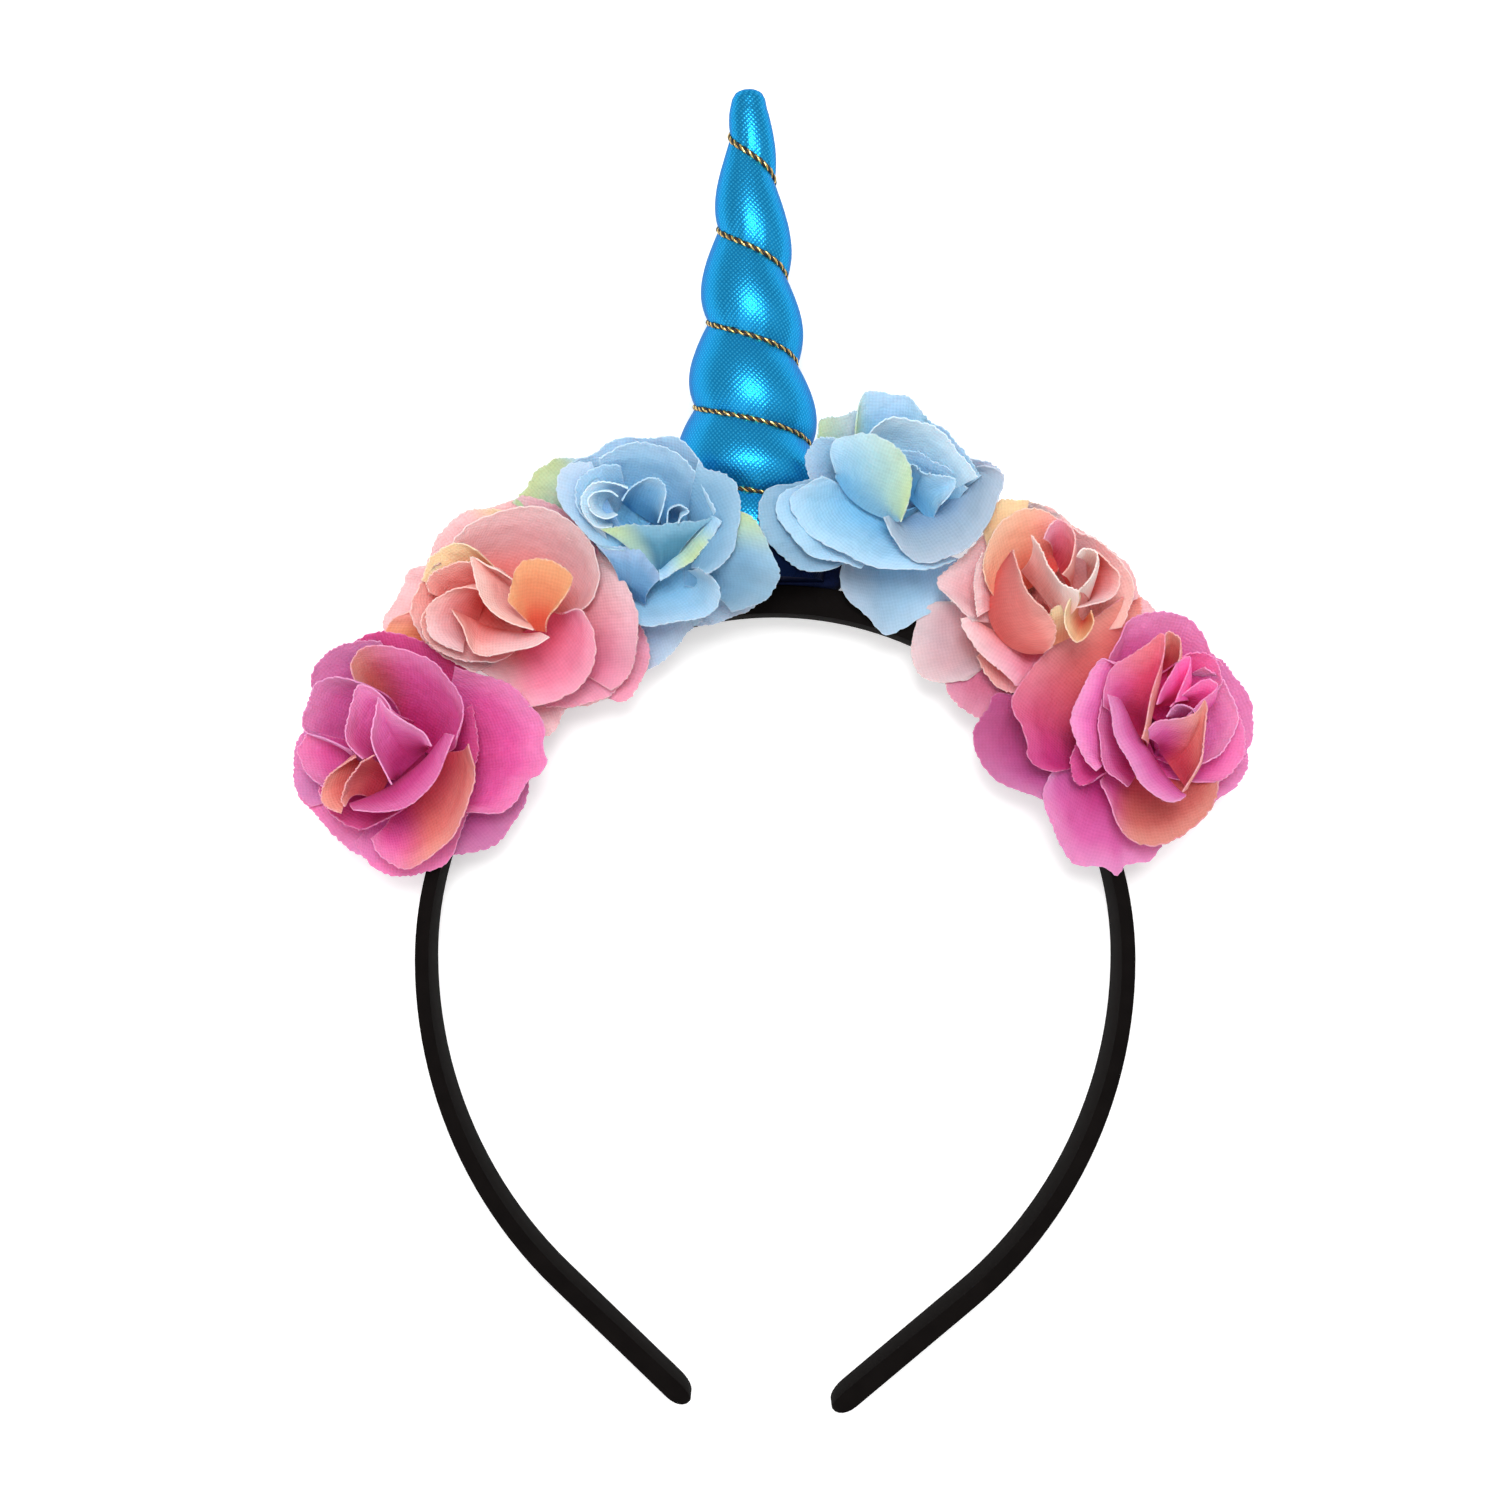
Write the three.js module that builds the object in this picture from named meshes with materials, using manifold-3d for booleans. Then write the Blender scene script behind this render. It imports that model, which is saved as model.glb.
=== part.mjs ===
// Unicorn-horn hairband with six fabric roses, lying on the back edge of its band.
// Millimetres. +Y runs from the crown to the horn's tip, +Z is the way the roses face,
// and the origin is the middle of the crown's back edge, on the surface that the hairband lies on.
import * as THREE from "three";
import { mergeVertices } from "three/addons/utils/BufferGeometryUtils.js";
import Module from "manifold-3d";

const wasm = await Module();
wasm.setup();

const GAP = 0.3;

// The hairband's strip: its inner face follows a half circle over the head, an arc and a straight tail.
const CROWN_RADIUS = 60.7;
const CROWN_CENTRE_Y = -63.3;
const LEG_RADIUS = 77.6;
const LEG_SWEEP_DEG = { left: 46, right: 50 };
const TAIL_LENGTH = { left: 32, right: 31 };
const STRIP_CORNER = 0.5;
const STRIP_STEP = 15;
// Strip sections, by how far along the inner face they lie from the middle of the crown.
const STRIP_SECTIONS = [
  { along: 0, thickness: 5.0, depth: 12 },
  { along: 24, thickness: 5.0, depth: 12 },
  { along: 40, thickness: 2.4, depth: 12 },
  { along: 110, thickness: 2.4, depth: 12 },
  { along: 165, thickness: 3.0, depth: 9.5 },
  { along: 186, thickness: 3.4, depth: 8 },
];
const NOSE_LENGTH = 4;
const NOSE_STEPS = [0.5, 0.85, 0.98];
const NOSE_DEPTH_LOSS = 0.4;

// The stuffed horn: its axis is level, and its crests are the bulges between the cord's turns.
const HORN_X = -4.5;
const HORN_Z = 13.4;
const HORN_BASE_Y = 2.8;
const HORN_LENGTH = 85.7;
const HORN_CRESTS = [
  { fromTip: 0, diameter: 0 },
  { fromTip: 0.8, diameter: 3.4 },
  { fromTip: 4.4, diameter: 6.8 },
  { fromTip: 12.7, diameter: 9.9 },
  { fromTip: 29.5, diameter: 15.7 },
  { fromTip: 46, diameter: 19.6 },
  { fromTip: 59.5, diameter: 24 },
  { fromTip: 72, diameter: 25.6 },
  { fromTip: 85.7, diameter: 26 },
];
const GROOVE_DEPTH = 1.9;
const GROOVE_SHARE = 0.32;
const GROOVE_POWER = 1.6;
const CORD_PITCH = 15.4;
const CORD_FIRST_LEFT = 8.3;
const CORD_DIAMETER = 1.2;
const CORD_TURNS = { from: -0.25, to: 4.75 };
const TURN_STEPS = 12;
const TURN_ROWS = 4;
const CORD_SIDES = 5;
const TANGENT_TURN = 0.01;

// Rose layers, from the stem up, each one or two cut rounds of cloth with their petals joined at the middle:
// where they root, how far their edges turn aside, how wide they spread, and how far off a neighbour
// they stand up.
const PETAL_THICKNESS = 1.0;
const ROUND_STEP = 0.7;
const ROOT_WIDTH = 2.4;
const WIDEST_AT = 0.6;
const SHOULDER = 0.36;
const SHOULDER_POWER = 3;
const LIP_FROM = 0.68;
const TUCK_GROWTH = 5;
const BEND_ROOM = { from: -1, to: 3 };
const BEND_BACK_DEG = -25;
const LEAST_RADIUS = 0.4;
const COLUMN_STEPS = 24;
const ALONG = 3;
const PETAL_ACROSS = [-1, -0.6, 0, 0.6, 1];
const ROLL_ACROSS = [-1, -0.72, -0.44, -0.15, 0.15, 0.44, 0.72, 1];
const ROSE_MIDDLE = 9;
const STEM_SIDES = 6;
const STEM_RADIUS = 2.4;
const STEM_SEAT_Z = 7.5;
const STEM_SUNK = 1;
const FREE = -99;
const LAYERS = [
  { name: "outer_petals", rootRadius: 2.8, rootHeight: 0.5, tuck: 0.9, spreadDeg: 50, room: 0.65 },
  { name: "middle_petals", rootRadius: 2.3, rootHeight: 2.9, tuck: 0.7, spreadDeg: 66, room: 3.2 },
  { name: "inner_petals", rootRadius: 1.6, rootHeight: 5.1, tuck: 0.6, spreadDeg: 59, room: FREE },
  { name: "heart", rootRadius: 1.3, rootHeight: 8, tuck: 0.8, spreadDeg: 205, room: FREE },
];
const PETAL_COLUMNS = ["azimuth", "length", "width", "openRoot", "openRim", "lip"];
// The heart of every rose is one rolled petal, turned by the rose's spin.
const HEART_PETAL = [0, 10.5, 18, 16, 4, 15];
// Azimuths are anticlockwise from +X, and open angles are from the rose's axis.
const ROSES = [
  {
    name: "magenta_left", hub: [-58.7, -28, 13], leanDeg: 34, leanTo: 144, spin: 20, color: 0xd9489f,
    outer_petals: {
      under: [[4, 24, 26, 66, 100, 8], [140, 22, 25, 62, 68, 8], [-108, 22, 25, 66, 92, 8]],
      over: [[80, 22, 26, 60, 78, 8], [-160, 22, 25, 60, 74, 8], [-50, 22, 25, 64, 98, 8]],
    },
    middle_petals: {
      under: [[160, 18, 26, 50, 50, 15], [-50, 20, 27, 52, 68, 15]],
      over: [[60, 18, 27, 48, 48, 20], [-130, 18, 25, 48, 54, 15]],
    },
    inner_petals: {
      under: [[175, 15, 20, 40, 22, 12], [-65, 16, 21, 40, 28, 12]],
      over: [[55, 15, 18, 36, 14, 8]],
    },
  },
  {
    name: "salmon_left", hub: [-41.4, -5.8, 13.5], leanDeg: 20, leanTo: 126, spin: 70, color: 0xf2a59c,
    outer_petals: {
      under: [[165, 24, 26, 64, 80, 8], [58, 19, 24, 62, 78, 8], [-55, 23, 26, 66, 98, 8]],
      over: [[2, 22, 26, 62, 88, 8], [112, 22, 26, 60, 74, 8], [-122, 20, 25, 62, 84, 8]],
    },
    middle_petals: {
      under: [[-25, 18, 26, 52, 60, 15], [175, 18, 26, 50, 58, 15]],
      over: [[80, 18, 28, 48, 52, 15], [-110, 17, 25, 48, 54, 15]],
    },
    inner_petals: {
      under: [[30, 15, 20, 36, 14, 8], [-95, 16, 21, 38, 18, 8]],
      over: [[145, 15, 19, 36, 14, 12]],
    },
  },
  {
    name: "blue_left", hub: [-23.5, 4.5, 19], leanDeg: 32, leanTo: 86, spin: 40, color: 0xa6cbe8,
    outer_petals: {
      under: [[36, 21, 25, 62, 78, 8], [138, 23, 25, 64, 74, 8], [-72, 23, 26, 66, 104, 8]],
      over: [[88, 21, 26, 58, 66, 8], [-14, 24, 26, 62, 94, 8]],
    },
    middle_petals: {
      under: [[30, 17, 26, 50, 54, 15], [-160, 16, 25, 50, 60, 15]],
      over: [[115, 16, 27, 46, 46, 15], [-60, 18, 27, 48, 58, 20]],
    },
    inner_petals: {
      under: [[155, 15, 20, 34, 11, 8], [-85, 16, 21, 40, 26, 12]],
      over: [[35, 15, 19, 36, 16, 12]],
    },
  },
  {
    name: "blue_right", hub: [18.2, 10.5, 17], leanDeg: 34, leanTo: 72, spin: 0, color: 0xa6cbe8,
    outer_petals: {
      under: [[30, 23, 26, 64, 74, 8], [-95, 25, 26, 66, 106, 8], [140, 22, 25, 64, 78, 8]],
      over: [[84, 23, 26, 58, 66, 8], [-171, 23, 26, 62, 90, 8]],
    },
    middle_petals: {
      under: [[45, 18, 26, 50, 56, 15], [-150, 19, 27, 52, 64, 15]],
      over: [[125, 18, 26, 46, 48, 15], [-45, 18, 27, 48, 58, 20]],
    },
    inner_petals: {
      under: [[175, 16, 21, 40, 28, 10], [-60, 15, 20, 40, 28, 15]],
      over: [[60, 15, 19, 38, 18, 15]],
    },
  },
  {
    name: "salmon_right", hub: [41.9, -6.2, 13.5], leanDeg: 28, leanTo: 50, spin: 100, color: 0xf2a59c,
    outer_petals: {
      under: [[32, 23, 26, 64, 74, 8], [145, 20, 25, 64, 84, 8], [-110, 23, 26, 66, 100, 8]],
      over: [[88, 22, 25, 60, 70, 8], [-168, 23, 26, 62, 94, 8]],
    },
    middle_petals: {
      under: [[42, 17, 26, 50, 54, 15], [-130, 18, 27, 52, 64, 20]],
      over: [[132, 17, 25, 46, 50, 15], [-40, 17, 25, 48, 54, 15]],
    },
    inner_petals: {
      under: [[-150, 15, 21, 38, 24, 10], [-30, 15, 18, 36, 16, 8]],
      over: [[90, 15, 19, 36, 14, 12]],
    },
  },
  {
    name: "magenta_right", hub: [58.5, -26.7, 13], leanDeg: 35, leanTo: 29, spin: 60, color: 0xd9489f,
    outer_petals: {
      under: [[26, 23, 26, 62, 70, 8], [152, 26, 28, 66, 108, 8], [-84, 23, 26, 66, 94, 8]],
      over: [[78, 21, 25, 60, 72, 8], [-140, 25, 26, 64, 100, 8], [-30, 22, 25, 60, 72, 8]],
    },
    middle_petals: {
      under: [[85, 17, 25, 50, 56, 15], [-70, 20, 27, 52, 68, 15]],
      over: [[10, 17, 25, 46, 46, 15], [165, 18, 26, 48, 58, 15]],
    },
    inner_petals: {
      under: [[120, 15, 19, 36, 18, 8], [-115, 16, 21, 38, 26, 10]],
      over: [[0, 15, 18, 36, 14, 12]],
    },
  },
];
// Where two roses press on each other: the first one's share of the way between them, at two heights.
const PRESS_LOW_Z = 16;
const PRESS_HIGH_Z = 30;
const PRESSED = [
  { first: "magenta_left", second: "salmon_left", low: 0.62, high: 0.52 },
  { first: "salmon_left", second: "blue_left", low: 0.66, high: 0.49 },
  { first: "blue_right", second: "blue_left", low: 0.47, high: 0.5 },
  { first: "blue_right", second: "salmon_right", low: 0.47, high: 0.52 },
  { first: "magenta_right", second: "salmon_right", low: 0.6, high: 0.5 },
];

const radians = THREE.MathUtils.degToRad;
const mix = THREE.MathUtils.lerp;
const smooth = THREE.MathUtils.smoothstep;

// Reads a column of a table by a straight line between its rows.
function readTable(rows, key, column, at) {
  const last = rows[rows.length - 1];
  if (at >= last[key]) return last[column];
  const next = rows.findIndex((row) => row[key] > at);
  const before = rows[Math.max(next - 1, 0)];
  const share = (at - before[key]) / (rows[next][key] - before[key]);
  return mix(before[column], rows[next][column], Math.max(share, 0));
}

// A closed geometry from points and triangles, turned so that its faces point out.
function closedGeometry(points, triangles) {
  const positions = points.flatMap((p) => [p.x, p.y, p.z]);
  const cross = new THREE.Vector3();
  let volume = 0;
  for (const [a, b, c] of triangles) volume += points[a].dot(cross.crossVectors(points[b], points[c]));
  const facing = volume < 0 ? triangles.map(([a, b, c]) => [a, c, b]) : triangles;
  const geometry = new THREE.BufferGeometry();
  geometry.setAttribute("position", new THREE.Float32BufferAttribute(positions, 3));
  geometry.setIndex(facing.flat());
  return mergeVertices(geometry, 1e-4);
}

// A skin through rings of points, each end closed by a fan round the ring's middle.
function loft(rings) {
  const sides = rings[0].length;
  const points = rings.flat();
  const triangles = [];
  for (let i = 0; i + 1 < rings.length; i++) {
    for (let j = 0; j < sides; j++) {
      const a = i * sides + j;
      const b = i * sides + ((j + 1) % sides);
      triangles.push([a, b, b + sides], [a, b + sides, a + sides]);
    }
  }
  for (const [ring, first] of [[0, 1], [rings.length - 1, 0]]) {
    const middle = rings[ring].reduce((sum, p) => sum.add(p), new THREE.Vector3()).divideScalar(sides);
    const centre = points.push(middle) - 1;
    for (let j = 0; j < sides; j++) {
      const a = ring * sides + j;
      const b = ring * sides + ((j + 1) % sides);
      triangles.push(first ? [b, a, centre] : [a, b, centre]);
    }
  }
  return closedGeometry(points, triangles);
}

function toSolid(geometry) {
  const bare = geometry.index ? geometry.clone() : geometry;
  bare.deleteAttribute("normal");
  bare.deleteAttribute("uv");
  const merged = mergeVertices(bare, 1e-4);
  return new wasm.Manifold(new wasm.Mesh({
    numProp: 3,
    vertProperties: new Float32Array(merged.attributes.position.array),
    triVerts: new Uint32Array(merged.index.array),
  }));
}

function toGeometry(solid) {
  const mesh = solid.getMesh();
  const geometry = new THREE.BufferGeometry();
  geometry.setAttribute("position", new THREE.Float32BufferAttribute(mesh.vertProperties, 3));
  geometry.setIndex(Array.from(mesh.triVerts));
  return geometry;
}

function largestBody(solid) {
  return solid.decompose().sort((a, b) => b.volume() - a.volume())[0];
}

// The inner face of the band as a flat path from the left tail's end to the right one's.
function bandPath() {
  const legEnd = (side, sign) => {
    const sweep = radians(LEG_SWEEP_DEG[side]);
    const x = sign * (CROWN_RADIUS - LEG_RADIUS * (1 - Math.cos(sweep)));
    return new THREE.Vector2(x, CROWN_CENTRE_Y - LEG_RADIUS * Math.sin(sweep));
  };
  const tailEnd = (side, sign) => {
    const sweep = radians(LEG_SWEEP_DEG[side]);
    const along = new THREE.Vector2(-sign * Math.sin(sweep), -Math.cos(sweep));
    return legEnd(side, sign).addScaledVector(along, TAIL_LENGTH[side]);
  };
  const legCentre = LEG_RADIUS - CROWN_RADIUS;
  const start = tailEnd("left", -1);
  const path = new THREE.Path();
  path.moveTo(start.x, start.y);
  path.lineTo(...legEnd("left", -1));
  const leftFrom = Math.PI + radians(LEG_SWEEP_DEG.left);
  path.absarc(legCentre, CROWN_CENTRE_Y, LEG_RADIUS, leftFrom, Math.PI, true);
  path.absarc(0, CROWN_CENTRE_Y, CROWN_RADIUS, Math.PI, 0, true);
  path.absarc(-legCentre, CROWN_CENTRE_Y, LEG_RADIUS, 0, -radians(LEG_SWEEP_DEG.right), true);
  path.lineTo(...tailEnd("right", 1));
  return path;
}

// One strip section: a rectangle with cut corners, standing on the back edge, grown by a clearance.
function stripRing(at, outward, thickness, depth, corner, clear) {
  const inner = -clear;
  const outer = thickness + clear;
  const back = -clear;
  const front = depth + clear;
  const outline = [
    [inner + corner, back], [outer - corner, back], [outer, back + corner], [outer, front - corner],
    [outer - corner, front], [inner + corner, front], [inner, front - corner], [inner, back + corner],
  ];
  return outline.map(([out, up]) => new THREE.Vector3(at.x + outward.x * out, at.y + outward.y * out, up));
}

function bandGeometry(clear) {
  const path = bandPath();
  const total = path.getLength();
  const crownAt = TAIL_LENGTH.left + LEG_RADIUS * radians(LEG_SWEEP_DEG.left) + CROWN_RADIUS * (Math.PI / 2);
  const stations = NOSE_STEPS.map((share) => ({ at: NOSE_LENGTH * (1 - share), grow: share })).reverse();
  const count = Math.round((total - 2 * NOSE_LENGTH) / STRIP_STEP);
  for (let i = 0; i <= count; i++) {
    stations.push({ at: mix(NOSE_LENGTH, total - NOSE_LENGTH, i / count), grow: 0 });
  }
  for (const share of NOSE_STEPS) stations.push({ at: total - NOSE_LENGTH * (1 - share), grow: share });
  const rings = stations.map(({ at, grow }) => {
    const point = path.getPoint(at / total);
    const tangent = path.getTangent(at / total);
    const outward = new THREE.Vector2(-tangent.y, tangent.x);
    const along = Math.abs(at - crownAt);
    const full = readTable(STRIP_SECTIONS, "along", "thickness", along);
    const round = Math.sqrt(1 - grow * grow);
    const depth = readTable(STRIP_SECTIONS, "along", "depth", along) * mix(1, round, NOSE_DEPTH_LOSS);
    const thickness = full * round;
    point.addScaledVector(outward, (full - thickness) / 2);
    return stripRing(point, outward, thickness, depth, STRIP_CORNER * round, clear);
  });
  return loft(rings);
}

function hornCrest(fromTip) {
  return readTable(HORN_CRESTS, "fromTip", "diameter", fromTip) / 2;
}

// The horn's radius: its crests less the groove that the cord pulls in, one turn of cord to each pitch.
function hornRadius(fromTip, turn) {
  const crest = hornCrest(fromTip);
  const between = (fromTip - CORD_FIRST_LEFT) / CORD_PITCH - turn;
  const groove = (1 - Math.sin(Math.PI * (between - Math.floor(between)))) ** GROOVE_POWER;
  return crest - Math.min(GROOVE_DEPTH, GROOVE_SHARE * crest) * groove;
}

// A point round the horn's axis: a turn goes from the left side over the front to the right side.
function roundHorn(fromTip, turn, radius) {
  const angle = Math.PI - 2 * Math.PI * turn;
  const y = HORN_BASE_Y + HORN_LENGTH - fromTip;
  return new THREE.Vector3(HORN_X + radius * Math.cos(angle), y, HORN_Z + radius * Math.sin(angle));
}

// The horn's rows run along the cord's helix, so that one row of each turn is the bottom of the groove.
function hornGeometry() {
  const firstRow = Math.floor((-1 - CORD_FIRST_LEFT / CORD_PITCH) * TURN_ROWS);
  const lastRow = Math.ceil(((HORN_LENGTH - CORD_FIRST_LEFT) / CORD_PITCH) * TURN_ROWS);
  const points = [];
  const triangles = [];
  const columns = TURN_STEPS + 1;
  for (let row = firstRow; row <= lastRow; row++) {
    for (let j = 0; j <= TURN_STEPS; j++) {
      const turn = j / TURN_STEPS;
      const wound = CORD_FIRST_LEFT + CORD_PITCH * (row / TURN_ROWS + turn);
      const fromTip = THREE.MathUtils.clamp(wound, 0, HORN_LENGTH);
      points.push(roundHorn(fromTip, turn, hornRadius(fromTip, turn)));
    }
  }
  for (let i = 0; i + columns < points.length; i++) {
    if (i % columns === TURN_STEPS) continue;
    triangles.push([i, i + 1, i + 1 + columns], [i, i + 1 + columns, i + columns]);
  }
  const centre = points.push(roundHorn(HORN_LENGTH, 0, 0)) - 1;
  for (let j = 0; j < TURN_STEPS; j++) {
    const a = (lastRow - firstRow) * columns + j;
    triangles.push([a, a + 1, centre]);
  }
  return closedGeometry(points, triangles);
}

function cordGeometry() {
  const steps = Math.round((CORD_TURNS.to - CORD_TURNS.from) * TURN_STEPS);
  const centre = (turns) => {
    const fromTip = CORD_FIRST_LEFT + CORD_PITCH * turns;
    const turn = turns - Math.floor(turns);
    return roundHorn(fromTip, turn, hornRadius(fromTip, turn) + GAP + CORD_DIAMETER / 2);
  };
  const rings = [];
  for (let i = 0; i <= steps; i++) {
    const turns = CORD_TURNS.from + i / TURN_STEPS;
    const at = centre(turns);
    const along = centre(turns + TANGENT_TURN).sub(centre(turns - TANGENT_TURN)).normalize();
    const out = new THREE.Vector3(at.x - HORN_X, 0, at.z - HORN_Z).normalize();
    const side = new THREE.Vector3().crossVectors(along, out).normalize();
    const up = new THREE.Vector3().crossVectors(side, along);
    rings.push(Array.from({ length: CORD_SIDES }, (_, k) => {
      const angle = (2 * Math.PI * (k + 0.5)) / CORD_SIDES;
      const ring = at.clone().addScaledVector(up, (Math.cos(angle) * CORD_DIAMETER) / 2);
      return ring.addScaledVector(side, (Math.sin(angle) * CORD_DIAMETER) / 2);
    }));
  }
  return loft(rings);
}

// The rose's own frame: its axis leans from +Z, and its azimuths stay close to those seen from above.
function placeRose(rose) {
  const tilt = radians(rose.leanDeg);
  const to = radians(rose.leanTo);
  const turnAxis = new THREE.Vector3(-Math.sin(to), Math.cos(to), 0);
  const matrix = new THREE.Matrix4().makeRotationAxis(turnAxis, tilt).setPosition(...rose.hub);
  return { ...rose, matrix, middle: new THREE.Vector3(0, 0, ROSE_MIDDLE).applyMatrix4(matrix) };
}

function hornRoom(p) {
  const y = Math.max(p.y, HORN_BASE_Y);
  const fromAxis = Math.hypot(p.x - HORN_X, p.z - HORN_Z);
  const radial = fromAxis - hornCrest(HORN_BASE_Y + HORN_LENGTH - y);
  return p.y < HORN_BASE_Y ? Math.hypot(Math.max(radial, 0), HORN_BASE_Y - p.y) : radial;
}

// The planes where this rose presses on its neighbours, each with its normal pointing back at this rose.
function pressPlanes(rose, roses) {
  const planes = [];
  for (const pair of PRESSED.filter((row) => [row.first, row.second].includes(rose.name))) {
    const first = roses.find((other) => other.name === pair.first);
    const second = roses.find((other) => other.name === pair.second);
    const between = (share, z) => first.middle.clone().lerp(second.middle, share).setZ(z);
    const low = between(pair.low, PRESS_LOW_Z);
    const rise = between(pair.high, PRESS_HIGH_Z).sub(low);
    const level = new THREE.Vector3(first.middle.y - second.middle.y, second.middle.x - first.middle.x, 0);
    const normal = rise.cross(level).normalize();
    if (normal.dot(rose.middle.clone().sub(low)) < 0) normal.negate();
    planes.push(new THREE.Plane().setFromNormalAndCoplanarPoint(normal, low));
  }
  return planes;
}

// The free room at a point: to the floor, to the horn, and to the planes where roses press on each other.
function roomAt(p, planes) {
  return Math.min(p.z, hornRoom(p), ...planes.map((plane) => plane.distanceToPoint(p)));
}

// One column of a petal's middle sheet, from root to rim, opening from the axis and standing up
// wherever the room runs out.
function petalColumn(rose, planes, layer, over, petal, t) {
  const reach = petal.length * (1 - SHOULDER * Math.abs(t) ** SHOULDER_POWER);
  const step = reach / COLUMN_STEPS;
  const points = [];
  const aside = layer.name === "heart" ? t : Math.abs(t) * (over ? -1 : 1);
  let radius = layer.rootRadius;
  let height = layer.rootHeight + (over ? ROUND_STEP : 0);
  for (let i = 0; i <= COLUMN_STEPS; i++) {
    const grown = (i * step) / petal.length;
    const halfWidth = mix(ROOT_WIDTH, petal.width, smooth(grown, 0, WIDEST_AT)) / 2;
    const lip = petal.lip * smooth(i / COLUMN_STEPS, LIP_FROM, 1);
    let open = radians(mix(petal.openRoot, petal.openRim, grown) + lip);
    const spread = Math.min(halfWidth / radius, radians(layer.spreadDeg));
    const angle = radians(petal.azimuth) + t * spread;
    const offset = layer.tuck * aside * Math.min(1, grown * TUCK_GROWTH);
    const out = radius + offset * Math.cos(open);
    const local = new THREE.Vector3(
      out * Math.cos(angle), out * Math.sin(angle), height - offset * Math.sin(open));
    const world = local.applyMatrix4(rose.matrix);
    if (i % (COLUMN_STEPS / ALONG) === 0) points.push(world);
    const room = roomAt(world, planes) - layer.room;
    open = mix(radians(room < 0 ? BEND_BACK_DEG : 0), open, smooth(room, BEND_ROOM.from, BEND_ROOM.to));
    radius = Math.max(radius + Math.sin(open) * step, LEAST_RADIUS);
    height += Math.cos(open) * step;
  }
  return points;
}

// A closed wall of even thickness from a sheet: both faces, and a strip along every free edge.
function thicken(points, triangles, thickness) {
  const normals = points.map(() => new THREE.Vector3());
  const edges = new Map();
  const key = (a, b) => `${a} ${b}`;
  for (const [a, b, c] of triangles) {
    const normal = points[b].clone().sub(points[a]).cross(points[c].clone().sub(points[a]));
    for (const corner of [a, b, c]) normals[corner].add(normal);
    for (const [from, to] of [[a, b], [b, c], [c, a]]) edges.set(key(from, to), [from, to]);
  }
  for (const normal of normals) normal.normalize();
  const side = (half) => points.map((p, i) => p.clone().addScaledVector(normals[i], half));
  const count = points.length;
  const skin = triangles.flatMap(([a, b, c]) => [[a, b, c], [a + count, c + count, b + count]]);
  for (const [from, to] of edges.values()) {
    if (edges.has(key(to, from))) continue;
    skin.push([from, from + count, to + count], [from, to + count, to]);
  }
  return closedGeometry([...side(thickness / 2), ...side(-thickness / 2)], skin);
}

// One cut round of cloth: its petals' sheets, joined at the middle by a fan to their roots.
function roundSolid(rose, planes, layer, over, rows) {
  const centre = new THREE.Vector3(0, 0, layer.rootHeight + (over ? ROUND_STEP : 0));
  const points = [centre.applyMatrix4(rose.matrix)];
  const triangles = [];
  const across = layer.name === "heart" ? ROLL_ACROSS : PETAL_ACROSS;
  const roots = [];
  for (const row of rows) {
    const petal = Object.fromEntries(PETAL_COLUMNS.map((column, k) => [column, row[k]]));
    across.forEach((t, i) => {
      const root = points.length;
      roots.push(root);
      points.push(...petalColumn(rose, planes, layer, over, petal, t));
      for (let j = 0; j < ALONG && i > 0; j++) {
        const [a, b] = [root - ALONG - 1 + j, root + j];
        triangles.push([a, a + 1, b + 1], [a, b + 1, b]);
      }
    });
  }
  for (let k = 0; k + 1 < roots.length; k++) triangles.push([0, roots[k], roots[k + 1]]);
  if (rows.length > 1) triangles.push([0, roots[roots.length - 1], roots[0]]);
  return toSolid(thicken(points, triangles, PETAL_THICKNESS));
}

function layerSolid(rose, planes, layer) {
  const { under, over = [] } = rose[layer.name] ?? { under: [HEART_PETAL.with(0, rose.spin)] };
  const solid = roundSolid(rose, planes, layer, false, under);
  return over.length ? solid.add(roundSolid(rose, planes, layer, true, over)) : solid;
}

// A round peg between two points.
function peg(from, to, radius) {
  const geometry = new THREE.CylinderGeometry(radius, radius, from.distanceTo(to), STEM_SIDES);
  const turn = new THREE.Quaternion().setFromUnitVectors(
    new THREE.Vector3(0, 1, 0), to.clone().sub(from).normalize());
  geometry.applyQuaternion(turn);
  geometry.translate(...from.clone().add(to).divideScalar(2));
  return toSolid(geometry);
}

// The stub of stem runs from the rose's hub into the band, and is cut there to seat on its outer face.
function stemSolid(rose) {
  const [x, y, z] = rose.hub;
  const out = new THREE.Vector2(x, y - CROWN_CENTRE_Y).normalize().multiplyScalar(CROWN_RADIUS + STEM_SUNK);
  const seat = new THREE.Vector3(out.x, out.y + CROWN_CENTRE_Y, STEM_SEAT_Z);
  return peg(seat, new THREE.Vector3(x, y, z), STEM_RADIUS);
}

const hairband = new THREE.Group();

function addMesh(name, geometry, color, roughness, metalness) {
  const mesh = new THREE.Mesh(geometry, new THREE.MeshStandardMaterial({ color, roughness, metalness }));
  mesh.name = name;
  hairband.add(mesh);
}

addMesh("hairband", bandGeometry(0), 0x161414, 0.5, 0);
addMesh("horn", hornGeometry(), 0x1a8fd0, 0.35, 0.6);
addMesh("horn_cord", cordGeometry(), 0xc9a34a, 0.35, 0.8);

const bandRoom = toSolid(bandGeometry(GAP));
const roses = ROSES.map(placeRose);
for (const rose of roses) {
  const planes = pressPlanes(rose, roses);
  for (const layer of LAYERS) {
    let solid = layerSolid(rose, planes, layer);
    if (layer.name === "outer_petals") solid = solid.add(stemSolid(rose)).subtract(bandRoom);
    addMesh(`${rose.name}_${layer.name}`, toGeometry(largestBody(solid)), rose.color, 0.85, 0);
  }
}

export default hairband;
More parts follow.
